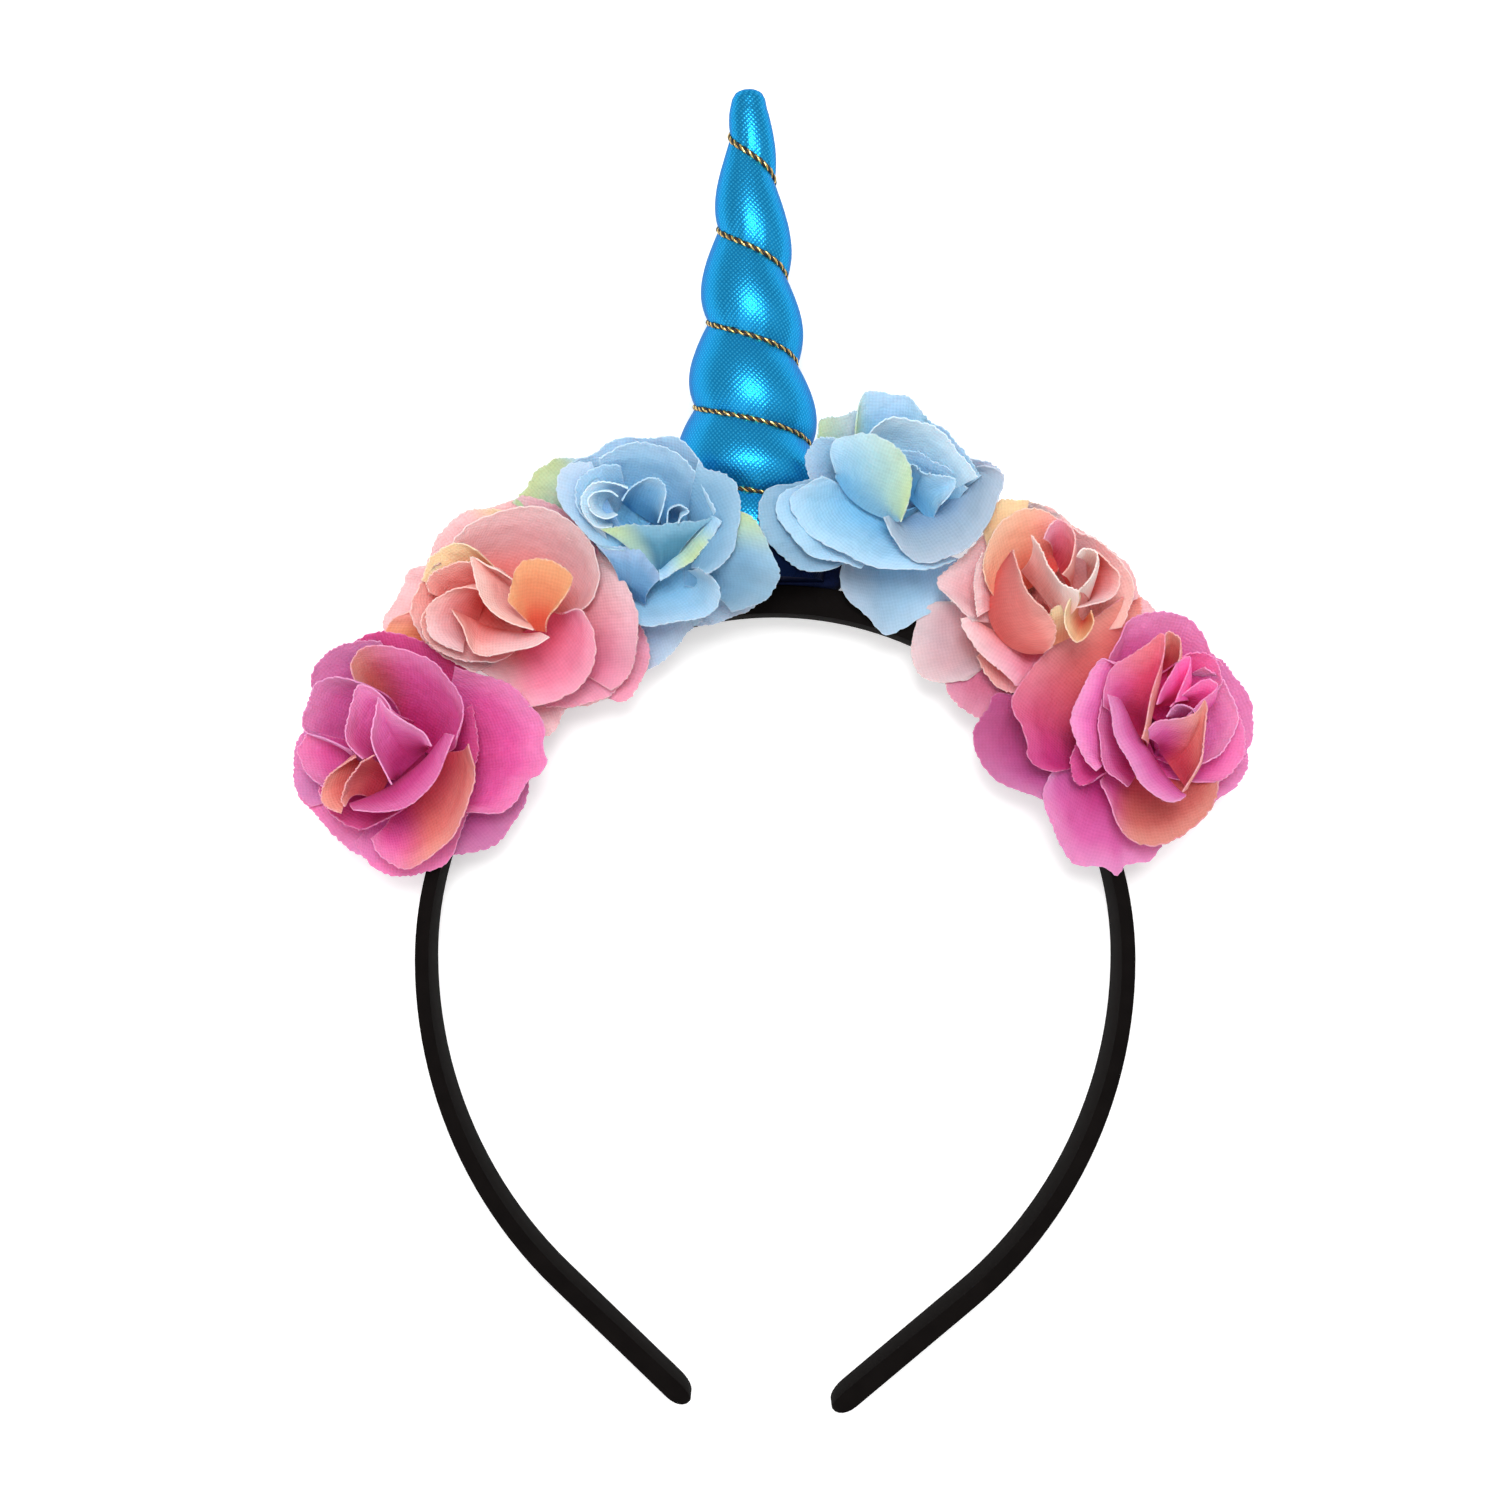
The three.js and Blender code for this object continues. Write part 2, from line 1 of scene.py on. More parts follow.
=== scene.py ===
# %% [markdown]
# # A unicorn-horn hairband with six cloth roses
# The real one is a springy plastic strip in a black satin cover, a stuffed horn of metallic cloth wound
# with gilt cord, and six craft roses made of cut rounds of dyed cloth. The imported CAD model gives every
# size and place. This lesson keeps them, and dresses each piece as the material that it is.

# %% Load the CAD frame
import math

import bpy
import numpy as np
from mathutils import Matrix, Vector


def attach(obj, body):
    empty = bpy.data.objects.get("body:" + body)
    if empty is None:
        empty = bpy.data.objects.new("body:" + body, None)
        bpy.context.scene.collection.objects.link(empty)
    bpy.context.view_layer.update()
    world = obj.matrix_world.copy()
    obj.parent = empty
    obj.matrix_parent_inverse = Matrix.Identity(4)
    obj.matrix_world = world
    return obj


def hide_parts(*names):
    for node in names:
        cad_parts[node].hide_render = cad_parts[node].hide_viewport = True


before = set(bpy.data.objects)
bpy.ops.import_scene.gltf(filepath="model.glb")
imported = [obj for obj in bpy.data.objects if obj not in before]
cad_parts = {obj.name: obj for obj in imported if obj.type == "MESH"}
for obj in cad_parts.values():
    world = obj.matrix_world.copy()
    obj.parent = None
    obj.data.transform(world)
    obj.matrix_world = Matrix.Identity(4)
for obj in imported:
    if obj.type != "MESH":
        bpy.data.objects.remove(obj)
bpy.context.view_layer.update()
scene = bpy.context.scene
MM = 0.001
print("CAD nodes:", len(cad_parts))

# %% [markdown]
# ## The camera
# The photograph looks straight down on the hairband from close by: the horn and the roses, which stand
# nearer the lens, look larger than the band. A camera with a normal lens at the same distance gives the
# same crowding, which a long lens would flatten.

# %% Put the camera over the hairband
CAMERA_AT = Vector((-4.4, -26.5, 376.5)) * MM
LENS_MM = 50
SENSOR_MM = 36
bpy.ops.object.select_all(action="DESELECT")
bpy.ops.object.camera_add(location=CAMERA_AT, rotation=(0, 0, 0))
camera = bpy.context.object
camera.data.lens = LENS_MM
camera.data.sensor_width = SENSOR_MM
camera.data.clip_start = 0.01
scene.camera = camera
print("camera at", [round(c / MM, 1) for c in CAMERA_AT], "mm")

# %% [markdown]
# ## Studio light
# The photograph was taken under large soft lamps on white. A large lamp overhead, a little towards the
# horn's tip, and a small one beside it give each bulge of the horn a bright patch with a sharp middle. Wide
# lamps at the sides and a white world keep the creases open. The standard view transform keeps the dyes as
# they are written.

# %% Light the table
LAMPS = {
    "key_lamp": {"at": (0.03, 0.2, 0.8), "size": 0.5, "power": 1.3},
    "glint_lamp": {"at": (0.0, 0.2, 0.8), "size": 0.26, "power": 3.6},
    "fill_lamp": {"at": (-0.5, -0.5, 0.8), "size": 1.0, "power": 2.8},
    "side_lamp": {"at": (0.8, 0.1, 0.7), "size": 0.8, "power": 0.7},
}
WORLD_LIGHT = 0.47
for name, lamp in LAMPS.items():
    aim = -Vector(lamp["at"])
    turn = aim.to_track_quat("-Z", "Y").to_euler()
    bpy.ops.object.light_add(type="AREA", location=lamp["at"], rotation=turn)
    light = bpy.context.object
    light.name = name
    light.data.size = lamp["size"]
    light.data.energy = lamp["power"]
world = bpy.data.worlds.new("white_studio")
world.use_nodes = True
world.node_tree.nodes["Background"].inputs["Color"].default_value = (1, 1, 1, 1)
world.node_tree.nodes["Background"].inputs["Strength"].default_value = WORLD_LIGHT
scene.world = world
scene.view_settings.view_transform = "Standard"
print("lamps:", ", ".join(LAMPS))

# %% [markdown]
# ## Nodes and colours
# Every material below is built from nodes. Colours are written as they look on screen, in sRGB hex, and one
# function makes them linear for the shader. A second one adds any node with its settings and links. The
# short ones after it add the few kinds of node that every cloth here needs.

# %% Helpers for colours, nodes and materials
def linear(code):
    """A hex colour as linear red, green, blue and alpha."""
    srgb = np.array([int(code[i:i + 2], 16) / 255 for i in (1, 3, 5)])
    rgb = np.where(srgb <= 0.04045, srgb / 12.92, ((srgb + 0.055) / 1.055) ** 2.4)
    return (*rgb.tolist(), 1.0)


def add_node(tree, kind, inputs=None, **settings):
    """Adds a node: settings are its properties, and inputs are numbers or other nodes' outputs."""
    node = tree.nodes.new(kind)
    for key, value in settings.items():
        setattr(node, key, value)
    for key, value in (inputs or {}).items():
        if isinstance(value, bpy.types.NodeSocket):
            tree.links.new(value, node.inputs[key])
        else:
            node.inputs[key].default_value = value
    return node


def new_material(name):
    """An empty node material."""
    material = bpy.data.materials.new(name)
    material.use_nodes = True
    material.node_tree.nodes.clear()
    return material, material.node_tree


WAVE_PERIOD = math.pi / 10  # one band of a Wave Texture at scale 1, in coordinate units
MIX_A = 6  # the sockets of a colour Mix node
MIX_B = 7
MIX_COLOUR = 2


def object_place(tree):
    """The place on the object, in metres."""
    return add_node(tree, "ShaderNodeTexCoord").outputs["Object"]


def speckle(tree, place, size, detail):
    """The value of a noise whose specks have a size in the place's own units."""
    inputs = {"Vector": place, "Scale": 1 / size, "Detail": detail}
    return add_node(tree, "ShaderNodeTexNoise", inputs).outputs["Fac"]


def bands(tree, place, spacing, distortion, detail, direction):
    """The value of wavy bands, such as threads, with a spacing in the place's own units."""
    inputs = {"Vector": place, "Scale": WAVE_PERIOD / spacing, "Distortion": distortion, "Detail": detail}
    return add_node(tree, "ShaderNodeTexWave", inputs, bands_direction=direction).outputs["Fac"]


def reckon(tree, operation, first, second):
    """The result of one sum on two values."""
    return add_node(tree, "ShaderNodeMath", {0: first, 1: second}, operation=operation).outputs["Value"]


def stretch(tree, value, start=(0, 1), to=(0, 1), kind="LINEAR"):
    """A value moved from one range to another."""
    inputs = {"Value": value, "From Min": start[0], "From Max": start[1], "To Min": to[0], "To Max": to[1]}
    return add_node(tree, "ShaderNodeMapRange", inputs, interpolation_type=kind).outputs["Result"]


def mix_colours(tree, share, first, second):
    """A colour between two, each a hex code or another node's output."""
    first, second = (linear(end) if isinstance(end, str) else end for end in (first, second))
    inputs = {0: share, MIX_A: first, MIX_B: second}
    return add_node(tree, "ShaderNodeMix", inputs, data_type="RGBA").outputs[MIX_COLOUR]


def bump(tree, height, strength, distance, under=None):
    """The normal of a surface that rises with a value by a distance in mm, over another normal if given."""
    inputs = {"Height": height, "Strength": strength, "Distance": distance * MM}
    if under is not None:
        inputs["Normal"] = under
    return add_node(tree, "ShaderNodeBump", inputs).outputs["Normal"]


def surface(tree, inputs):
    """Adds the shader with its inputs and joins it to the material's output."""
    shader = add_node(tree, "ShaderNodeBsdfPrincipled", inputs)
    add_node(tree, "ShaderNodeOutputMaterial", {"Surface": shader.outputs["BSDF"]})


print("colour check, mid grey:", [round(c, 3) for c in linear("#808080")])

# %% [markdown]
# ## The floor
# A plain sheet of white paper lies on a light table, just under the band's back edge. The light from below
# keeps the shadows faint, and the paper's tooth keeps it from being a flat colour.

# %% Lay the paper
PAPER_SIZE = 60.0  # m, so wide that its edge is a far horizon in low views
PAPER_DROP = 0.1 * MM  # so that the paper and the band's edge don't share a plane
PAPER_TOOTH = 1.11  # mm between bumps, coarser than real so that they show
TABLE_GLOW = 0.36  # the strength of the light from below
bpy.ops.object.select_all(action="DESELECT")
bpy.ops.mesh.primitive_plane_add(size=PAPER_SIZE, location=(0, 0, -PAPER_DROP))
paper_sheet = bpy.context.object
paper_sheet.name = "paper_floor"
paper, tree = new_material("matt_white_paper")
tooth = speckle(tree, object_place(tree), PAPER_TOOTH * MM, 2.0)
surface(tree, {
    "Base Color": linear("#f7f7f6"), "Roughness": 0.9, "Normal": bump(tree, tooth, 0.05, 0.1),
    "Emission Color": linear("#ffffff"), "Emission Strength": TABLE_GLOW,
})
paper_sheet.data.materials.append(paper)
print("paper floor laid")

# %% [markdown]
# ## The hairband's strip
# The strip is one flat spring bent over the head: a tail, an arc for each leg, and a half circle for the
# crown. By hand that is a drawn profile which is extruded along the tail and spun round each arc's centre.
# With no window, spin turns anticlockwise for a negative angle, so clockwise arcs are given a positive one.

# %% Sweep the strip from tail to tail
# lengths are in mm, and where there are two numbers the left leg's comes first
CROWN_RADIUS = 60.7  # to the strip's inner face
CROWN_CENTRE_Y = -63.3
LEG_RADIUS = 77.6
LEG_SWEEP_DEG = (46, 50)
TAIL_LENGTH = (32, 31)
NOSE_LENGTH = 4.0  # of a tail's rounded tip
NOSE_STOPS = (0.08, 0.3, 0.7, 1.3, 2.1, 3.0, 4.0)  # rings close together where the tip is rounded
TAIL_STEPS = 12
ARC_STEP_DEG = 2.0
CUT_SECTION = 8.0  # the drawn profile's size, before each ring is set to its own


def tail_way(sweep_deg, sign):
    """The direction from a leg's end to its tail's tip."""
    sweep = math.radians(sweep_deg)
    return Vector((-sign * math.sin(sweep), -math.cos(sweep), 0))


def tail_stops(length):
    """How far from the tip the tail's rings lie, from the tip to the leg."""
    plain = np.linspace(NOSE_LENGTH, length, TAIL_STEPS + 1)[1:]
    return np.array([*NOSE_STOPS, *plain])


def extrude_steps(way, lengths):
    """Extrudes what is selected, once for each length, in millimetres."""
    for length in lengths:
        bpy.ops.mesh.extrude_region_move(TRANSFORM_OT_translate={"value": way * (length * MM)})


left_way, right_way = (tail_way(sweep, sign) for sweep, sign in zip(LEG_SWEEP_DEG, (-1, 1)))
left_stops, right_stops = (tail_stops(length) for length in TAIL_LENGTH)
left_sweep = math.radians(LEG_SWEEP_DEG[0])
left_leg_end = Vector((LEG_RADIUS * (1 - math.cos(left_sweep)) - CROWN_RADIUS,
                       CROWN_CENTRE_Y - LEG_RADIUS * math.sin(left_sweep), 0))
left_tip = left_leg_end + left_way * (TAIL_LENGTH[0] - left_stops[0])
bpy.ops.object.select_all(action="DESELECT")
bpy.ops.mesh.primitive_plane_add(size=CUT_SECTION * MM, location=left_tip * MM,
                                 rotation=left_way.to_track_quat("Z", "X").to_euler())
hairband = bpy.context.object
hairband.name = "hairband_strip"
bpy.ops.object.transform_apply(location=True, rotation=True, scale=True)
bpy.ops.object.mode_set(mode="EDIT")
bpy.ops.mesh.select_all(action="SELECT")
extrude_steps(-left_way, np.diff(left_stops))
LEG_CENTRE_X = LEG_RADIUS - CROWN_RADIUS
for centre_x, sweep_deg in ((LEG_CENTRE_X, LEG_SWEEP_DEG[0]), (0, 180), (-LEG_CENTRE_X, LEG_SWEEP_DEG[1])):
    bpy.ops.mesh.spin(steps=round(sweep_deg / ARC_STEP_DEG), angle=math.radians(sweep_deg), axis=(0, 0, 1),
                      center=(centre_x * MM, CROWN_CENTRE_Y * MM, 0))
extrude_steps(right_way, -np.diff(right_stops[::-1]))
bpy.ops.object.mode_set(mode="OBJECT")
print("strip swept:", len(hairband.data.polygons), "faces")

# %% [markdown]
# The strip is thicker where the horn stands, and narrower and lower at the tails. Each ring of the sweep is
# set to its own thickness and depth, as a maker would file a blank, and the tips are rounded. A bevel then
# gives the long edges the soft turn of cloth that is pulled round a strip.

# %% File the strip to its sections
# how far from the crown's middle, thickness and depth, in mm
STRIP_SECTIONS = np.array([
    (0, 5, 12), (24, 5, 12), (40, 2.4, 12), (110, 2.4, 12), (165, 3, 9.5), (186, 3.4, 8),
])
NOSE_DEPTH_LOSS = 0.4  # the share of its depth that a tail loses at the tip
COVER_TURN = 0.6 * MM
TURN_STEPS = 3
TURN_FROM_DEG = 50  # only edges at least this sharp are turned
FLAT_DEG = 60  # edges sharper than this stay sharp in the shading
RING = 4  # points in each ring of the sweep
corners = np.array([v.co for v in hairband.data.vertices]) / MM
rings = corners.reshape(-1, RING, 3)
centres = rings.mean(axis=1)
ways = np.gradient(centres, axis=0)
ways /= np.linalg.norm(ways, axis=1)[:, None]
outward = np.stack([-ways[:, 1], ways[:, 0], np.zeros(len(ways))], axis=1)
travelled = np.concatenate([[0], np.linalg.norm(np.diff(centres, axis=0), axis=1).cumsum()])
crown_ring = np.argmin(np.hypot(centres[:, 0], centres[:, 1]))
from_crown = np.abs(travelled - travelled[crown_ring])
thickness = np.interp(from_crown, STRIP_SECTIONS[:, 0], STRIP_SECTIONS[:, 1])
depth = np.interp(from_crown, STRIP_SECTIONS[:, 0], STRIP_SECTIONS[:, 2])
to_tip = np.minimum(travelled + left_stops[0], travelled[-1] - travelled + right_stops[0])
roundness = np.sqrt(1 - np.clip(1 - to_tip / NOSE_LENGTH, 0, 1) ** 2)
inner_face = thickness * (1 - roundness) / 2
outer_face = thickness - inner_face
depth *= 1 - NOSE_DEPTH_LOSS * (1 - roundness)
offsets = rings - centres[:, None]
is_outer = np.einsum("rki,ri->rk", offsets, outward) > 0
is_front = offsets[:, :, 2] > 0
out = np.where(is_outer, outer_face[:, None], inner_face[:, None])
shaped = centres[:, None] + outward[:, None] * out[:, :, None]
shaped[:, :, 2] = np.where(is_front, depth[:, None], 0)
hairband.data.vertices.foreach_set("co", (shaped * MM).ravel())


def apply_modifier(piece, kind, **settings):
    """Adds a modifier to a piece, sets it and applies it."""
    modifier = piece.modifiers.new(kind.lower(), kind)
    for key, value in settings.items():
        setattr(modifier, key, value)
    bpy.context.view_layer.objects.active = piece
    bpy.ops.object.modifier_apply(modifier=modifier.name)


def smooth_shade(piece, angle_deg):
    """Shades a piece smooth, apart from edges sharper than the angle."""
    bpy.ops.object.select_all(action="DESELECT")
    piece.select_set(True)
    bpy.context.view_layer.objects.active = piece
    bpy.ops.object.shade_smooth_by_angle(angle=math.radians(angle_deg))


def face_outward(piece):
    """Turns the faces of a closed piece outward."""
    bpy.ops.object.select_all(action="DESELECT")
    bpy.context.view_layer.objects.active = piece
    bpy.ops.object.mode_set(mode="EDIT")
    bpy.ops.mesh.select_all(action="SELECT")
    bpy.ops.mesh.normals_make_consistent(inside=False)
    bpy.ops.object.mode_set(mode="OBJECT")


face_outward(hairband)
apply_modifier(hairband, "BEVEL", width=COVER_TURN, segments=TURN_STEPS, limit_method="ANGLE",
               angle_limit=math.radians(TURN_FROM_DEG))
smooth_shade(hairband, FLAT_DEG)
print("strip filed:", [round(side / MM, 1) for side in hairband.dimensions], "mm")

# %% [markdown]
# The cover is black polyester satin with its dull side out: nearly black, almost without shine, with a
# faint grain across it. A rough shader with little specular light gives that to the eye, and lint in two
# near-blacks keeps the cover from looking like a flat silhouette.

# %% Cover the strip in satin
SATIN_THREAD = 0.45  # mm between threads, drawn about three times as coarse as real satin so that it shows
LINT_SIZE = 3.85  # mm from one patch of lint to the next
satin, tree = new_material("black_polyester_satin")
place = object_place(tree)
grain = bands(tree, place, SATIN_THREAD * MM, 1.5, 2.0, "DIAGONAL")
lint = speckle(tree, place, LINT_SIZE * MM, 4.0)
surface(tree, {
    "Base Color": mix_colours(tree, lint, "#0c0a0a", "#171413"),
    "Roughness": stretch(tree, lint, to=(0.78, 0.95)),
    "Specular IOR Level": 0.02, "Normal": bump(tree, grain, 0.25, 0.05),
})
hairband.data.materials.append(satin)
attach(hairband, "root")
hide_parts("hairband")
print("strip covered in", satin.name)

# %% [markdown]
# ## The stuffed horn
# The horn is a cone of cloth, stuffed and then wound with a cord that pulls a groove into it. Between two
# turns of cord the cloth swells, most of all towards the base, where the stuffing is pressed. A cloth
# simulation would swell every part alike, so the crests measured from the photograph are used instead:
# rings of points whose radius dips along the cord's helix.

# %% Swell the horn between the turns of cord
# lengths are in mm
HORN_X = -4.5  # the horn's axis runs along Y at this X and Z
HORN_Z = 13.4
HORN_BASE_Y = 2.8
HORN_LENGTH = 85.7
# how far from the tip, and the diameter of the crest there
HORN_CRESTS = np.array([
    (0, 0), (0.2, 3), (0.7, 5), (1.7, 6.2), (4.4, 7.4), (12.7, 9.9), (29.5, 15.7), (46, 19.8), (59.5, 24.4),
    (66, 26), (85.7, 26),
])
# turns of cord from its first crossing of the left side, and how far from the tip it is there
CORD_STOPS = np.array([
    (-0.3, 3.5), (0, 8), (0.5, 16), (1, 24.2), (1.5, 32.8), (2, 40.4), (2.5, 47.8), (3, 55.2), (3.5, 62.2),
    (4.25, 71), (5, 79),
])
CORD_PITCH = 15.4  # the mean rise of one turn
GROOVE_DEPTH = 2.3  # where the horn is thick
GROOVE_SHARE = 0.26  # of the radius, where it is thin
SWELL_POWER = 0.7  # below 1, the cloth swells out steeply beside the cord
SWELL_SKEW = 1.2  # above 1, the fullest place lies nearer the cord below
PLEATS = ((13, 0.9, 1.0), (22, 2.0, 0.7))  # how many go round, how they slant, and their share of the depth
PLEAT_DEPTH = 0.06
PLEAT_REACH = 2.4  # how far from the cord the pleats fade out
PLEATED_RADIUS = (2, 6)  # the pleats grow in between these radii
HORN_ROUND = 144  # points in each ring
HORN_RINGS = 300
RING_CROWDING = 1.15  # above 1, the rings lie closer together at the tip
TIP_STOP = 0.02  # the first ring, not quite at the tip


def smooth_steps(value, low, high):
    """A smooth step from 0 at low to 1 at high."""
    share = np.clip((value - low) / (high - low), 0, 1)
    return share * share * (3 - 2 * share)


def horn_radius(from_tip, turn):
    """The horn's radius: its crests, less the groove that the cord pulls in and the pleats beside it."""
    crest = np.interp(from_tip, HORN_CRESTS[:, 0], HORN_CRESTS[:, 1]) / 2
    between = np.interp(from_tip, CORD_STOPS[:, 1], CORD_STOPS[:, 0]) - turn
    share = (between - np.floor(between)) ** SWELL_SKEW
    groove = 1 - np.sin(math.pi * share) ** SWELL_POWER
    to_cord = np.abs(between - np.round(between)) * CORD_PITCH
    round_angle = 2 * math.pi * turn
    pleats = sum(part * np.sin(count * round_angle + slant * between) for count, slant, part in PLEATS)
    pleats *= PLEAT_DEPTH * np.exp(-to_cord / PLEAT_REACH) * smooth_steps(crest, *PLEATED_RADIUS)
    return crest - np.minimum(GROOVE_DEPTH, GROOVE_SHARE * crest) * groove + pleats


def round_horn(from_tip, turn, radius):
    """A point round the horn's axis: a turn goes from the left side over the front to the right side."""
    angle = math.pi - 2 * math.pi * turn
    y = HORN_BASE_Y + HORN_LENGTH - from_tip + 0 * angle
    return np.stack([HORN_X + radius * np.cos(angle), y, HORN_Z + radius * np.sin(angle)], axis=-1)


def mesh_piece(name, points, faces):
    """A new object from points in millimetres and faces."""
    mesh = bpy.data.meshes.new(name)
    mesh.from_pydata((np.asarray(points) * MM).tolist(), [], faces)
    piece = bpy.data.objects.new(name, mesh)
    scene.collection.objects.link(piece)
    return piece


def grid_faces(rows, columns, closed=False):
    """The quads of a grid of points, row by row, with its last column joined to its first if closed."""
    corner = np.arange(rows * columns).reshape(rows, columns)
    following = np.roll(corner, -1, axis=1)
    last = columns if closed else columns - 1
    quads = np.stack([corner[:-1], following[:-1], following[1:], corner[1:]], axis=-1)[:, :last]
    return quads.reshape(-1, 4)


def set_uv(piece, uv):
    """Gives a piece a UV map from one pair of numbers for each point."""
    layer = piece.data.uv_layers.new(name="UVMap")
    loops = np.empty(len(piece.data.loops), dtype=np.int32)
    piece.data.loops.foreach_get("vertex_index", loops)
    layer.data.foreach_set("uv", uv[loops].astype(np.float32).ravel())


ring_stops = HORN_LENGTH * np.linspace(0.0, 1, HORN_RINGS) ** RING_CROWDING
ring_stops[0] = TIP_STOP
turns = np.arange(HORN_ROUND) / HORN_ROUND
stop_grid, turn_grid = np.meshgrid(ring_stops, turns, indexing="ij")
skin = round_horn(stop_grid, turn_grid, horn_radius(stop_grid, turn_grid))
horn_faces = grid_faces(HORN_RINGS, HORN_ROUND, closed=True).tolist()
first_ring = list(range(HORN_ROUND))
last_ring = [(HORN_RINGS - 1) * HORN_ROUND + k for k in range(HORN_ROUND)]
horn_faces += [first_ring[::-1], last_ring]
horn = mesh_piece("horn_skin", skin.reshape(-1, 3), horn_faces)
crest_here = np.interp(stop_grid, HORN_CRESTS[:, 0], HORN_CRESTS[:, 1]) / 2
set_uv(horn, np.stack([(turn_grid - 0.5) * 2 * math.pi * crest_here, stop_grid], axis=-1).reshape(-1, 2))
face_outward(horn)
smooth_shade(horn, FLAT_DEG)
print("horn:", len(horn.data.polygons), "faces")

# %% [markdown]
# The horn's cloth is lame: a plain weave with a flat metal-coated yarn. It mirrors the lamps as a metal
# does, but every yarn is a small rounded bar, so the glints break up into a grain of crossed threads. A
# metallic shader with a woven bump gives both: broad bright patches, and sparkle along their edges.

# %% Weave the horn's lame
LAME_THREAD = 0.6  # mm between threads, drawn about twice as coarse as real so that the grain shows
SLUB_SIZE = 0.625  # mm from one thick place in the yarn to the next
BIAS_DEG = 38  # the cloth is cut on the bias, so its threads run aslant
FOOT_SHADE_TOP = (7.5, 10.5)  # mm: below this the lamé is painted navy, as painted shade where the horn's foot lies in shadow
lame, tree = new_material("blue_metallic_lame")
flat = add_node(tree, "ShaderNodeUVMap", uv_map="UVMap").outputs["UV"]
turned = {"Vector": flat, "Rotation": (0, 0, math.radians(BIAS_DEG))}
bias = add_node(tree, "ShaderNodeMapping", turned).outputs["Vector"]
warp, weft = (bands(tree, bias, LAME_THREAD, 0.6, 1.0, direction) for direction in "XY")
weave = reckon(tree, "MULTIPLY", warp, weft)
slub = speckle(tree, bias, SLUB_SIZE, 3.0)
relief = reckon(tree, "ADD", weave, slub)
metal = mix_colours(tree, weave, "#168ac6", "#3cb6e6")
up_horn = add_node(tree, "ShaderNodeSeparateXYZ", {"Vector": object_place(tree)}).outputs["Y"]
above_foot_shade = stretch(tree, up_horn, start=(FOOT_SHADE_TOP[0] * MM, FOOT_SHADE_TOP[1] * MM))
# the navy below the foot's top is painted shade, not a colour of the cloth
surface(tree, {
    "Base Color": mix_colours(tree, above_foot_shade, "#0a1430", metal), "Metallic": 0.8,
    "Roughness": stretch(tree, slub, to=(0.24, 0.46)), "Specular Tint": linear("#1a78b0"),
    "Normal": bump(tree, relief, 0.34, 0.12),
})
horn.data.materials.append(lame)
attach(horn, "root")
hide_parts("horn")
print("horn covered in", lame.name)

# %% [markdown]
# ## The gilt cord
# The cord is four yarns twisted together, two of gilt film and two black, and it lies in the horn's groove
# all the way from the tip's back to the base. Each yarn is a tube that winds round the cord's own helix.
# The two colours are two pieces, so that each has a plain material of its own.

# %% Twist the cord round the horn
# lengths are in mm
CORD_TURNS = (-0.25, 4.75)  # where it starts and ends, counted as in CORD_STOPS
CORD_GAP = -0.15  # below 0, the cord is pressed into the cloth
CORD_DIAMETER = 1.05
YARN_DIAMETER = 0.48
YARN_PITCH = 3.3  # a yarn of one colour shows every half of this
YARN_SIDES = 7
CORD_STEP = 0.2  # between one ring of a yarn and the next
ROUGH_STEPS = 2000  # for measuring the cord before it is divided evenly
ROUND_DEG = 80  # thin round or rolled pieces are shaded smooth up to this angle


def cord_centre(turns_on):
    """The cord's centreline, by how many turns on from its first crossing of the left side."""
    from_tip = np.interp(turns_on, CORD_STOPS[:, 0], CORD_STOPS[:, 1])
    radius = horn_radius(from_tip, turns_on) + CORD_GAP + CORD_DIAMETER / 2 - YARN_DIAMETER / 2
    return round_horn(from_tip, turns_on, radius)


def tube(centreline, outs, diameter, sides):
    """The points and faces of a tube round a centreline, its ends closed."""
    ways = np.gradient(centreline, axis=0)
    ways /= np.linalg.norm(ways, axis=1)[:, None]
    side = np.cross(ways, outs)
    side /= np.linalg.norm(side, axis=1)[:, None]
    up = np.cross(side, ways)
    angle = 2 * math.pi * np.arange(sides) / sides
    ring = up[:, None] * np.cos(angle)[:, None] + side[:, None] * np.sin(angle)[:, None]
    points = centreline[:, None] + ring * (diameter / 2)
    faces = grid_faces(len(centreline), sides, closed=True).tolist()
    faces.append(list(range(sides))[::-1])
    faces.append([(len(centreline) - 1) * sides + k for k in range(sides)])
    return points.reshape(-1, 3), faces


rough_turns = np.linspace(*CORD_TURNS, ROUGH_STEPS)
rough_length = np.linalg.norm(np.diff(cord_centre(rough_turns), axis=0), axis=1).cumsum()
cord_length = rough_length[-1]
even_stops = np.linspace(0, cord_length, round(cord_length / CORD_STEP))
even_turns = np.interp(even_stops, np.concatenate([[0], rough_length]), rough_turns)
cord_line = cord_centre(even_turns)
cord_ways = np.gradient(cord_line, axis=0)
cord_ways /= np.linalg.norm(cord_ways, axis=1)[:, None]
cord_outs = cord_line - [HORN_X, 0, HORN_Z]
cord_outs[:, 1] = 0
cord_sides = np.cross(cord_ways, cord_outs)
cord_sides /= np.linalg.norm(cord_sides, axis=1)[:, None]
cord_outs = np.cross(cord_sides, cord_ways)


def twisted_yarns(name, phases):
    """One piece of yarns that wind round the cord's centreline, each from its own phase in turns."""
    points, faces = [], []
    for phase in phases:
        angle = 2 * math.pi * (even_stops / YARN_PITCH + phase)
        lead = cord_outs * np.cos(angle)[:, None] + cord_sides * np.sin(angle)[:, None]
        yarn_line = cord_line + lead * ((CORD_DIAMETER - YARN_DIAMETER) / 2)
        yarn_points, yarn_faces = tube(yarn_line, lead, YARN_DIAMETER, YARN_SIDES)
        faces += [[corner + len(points) * len(yarn_points) for corner in face] for face in yarn_faces]
        points.append(yarn_points)
    piece = mesh_piece(name, np.concatenate(points), faces)
    smooth_shade(piece, ROUND_DEG)
    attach(piece, "root")
    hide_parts("horn_cord")
    return piece


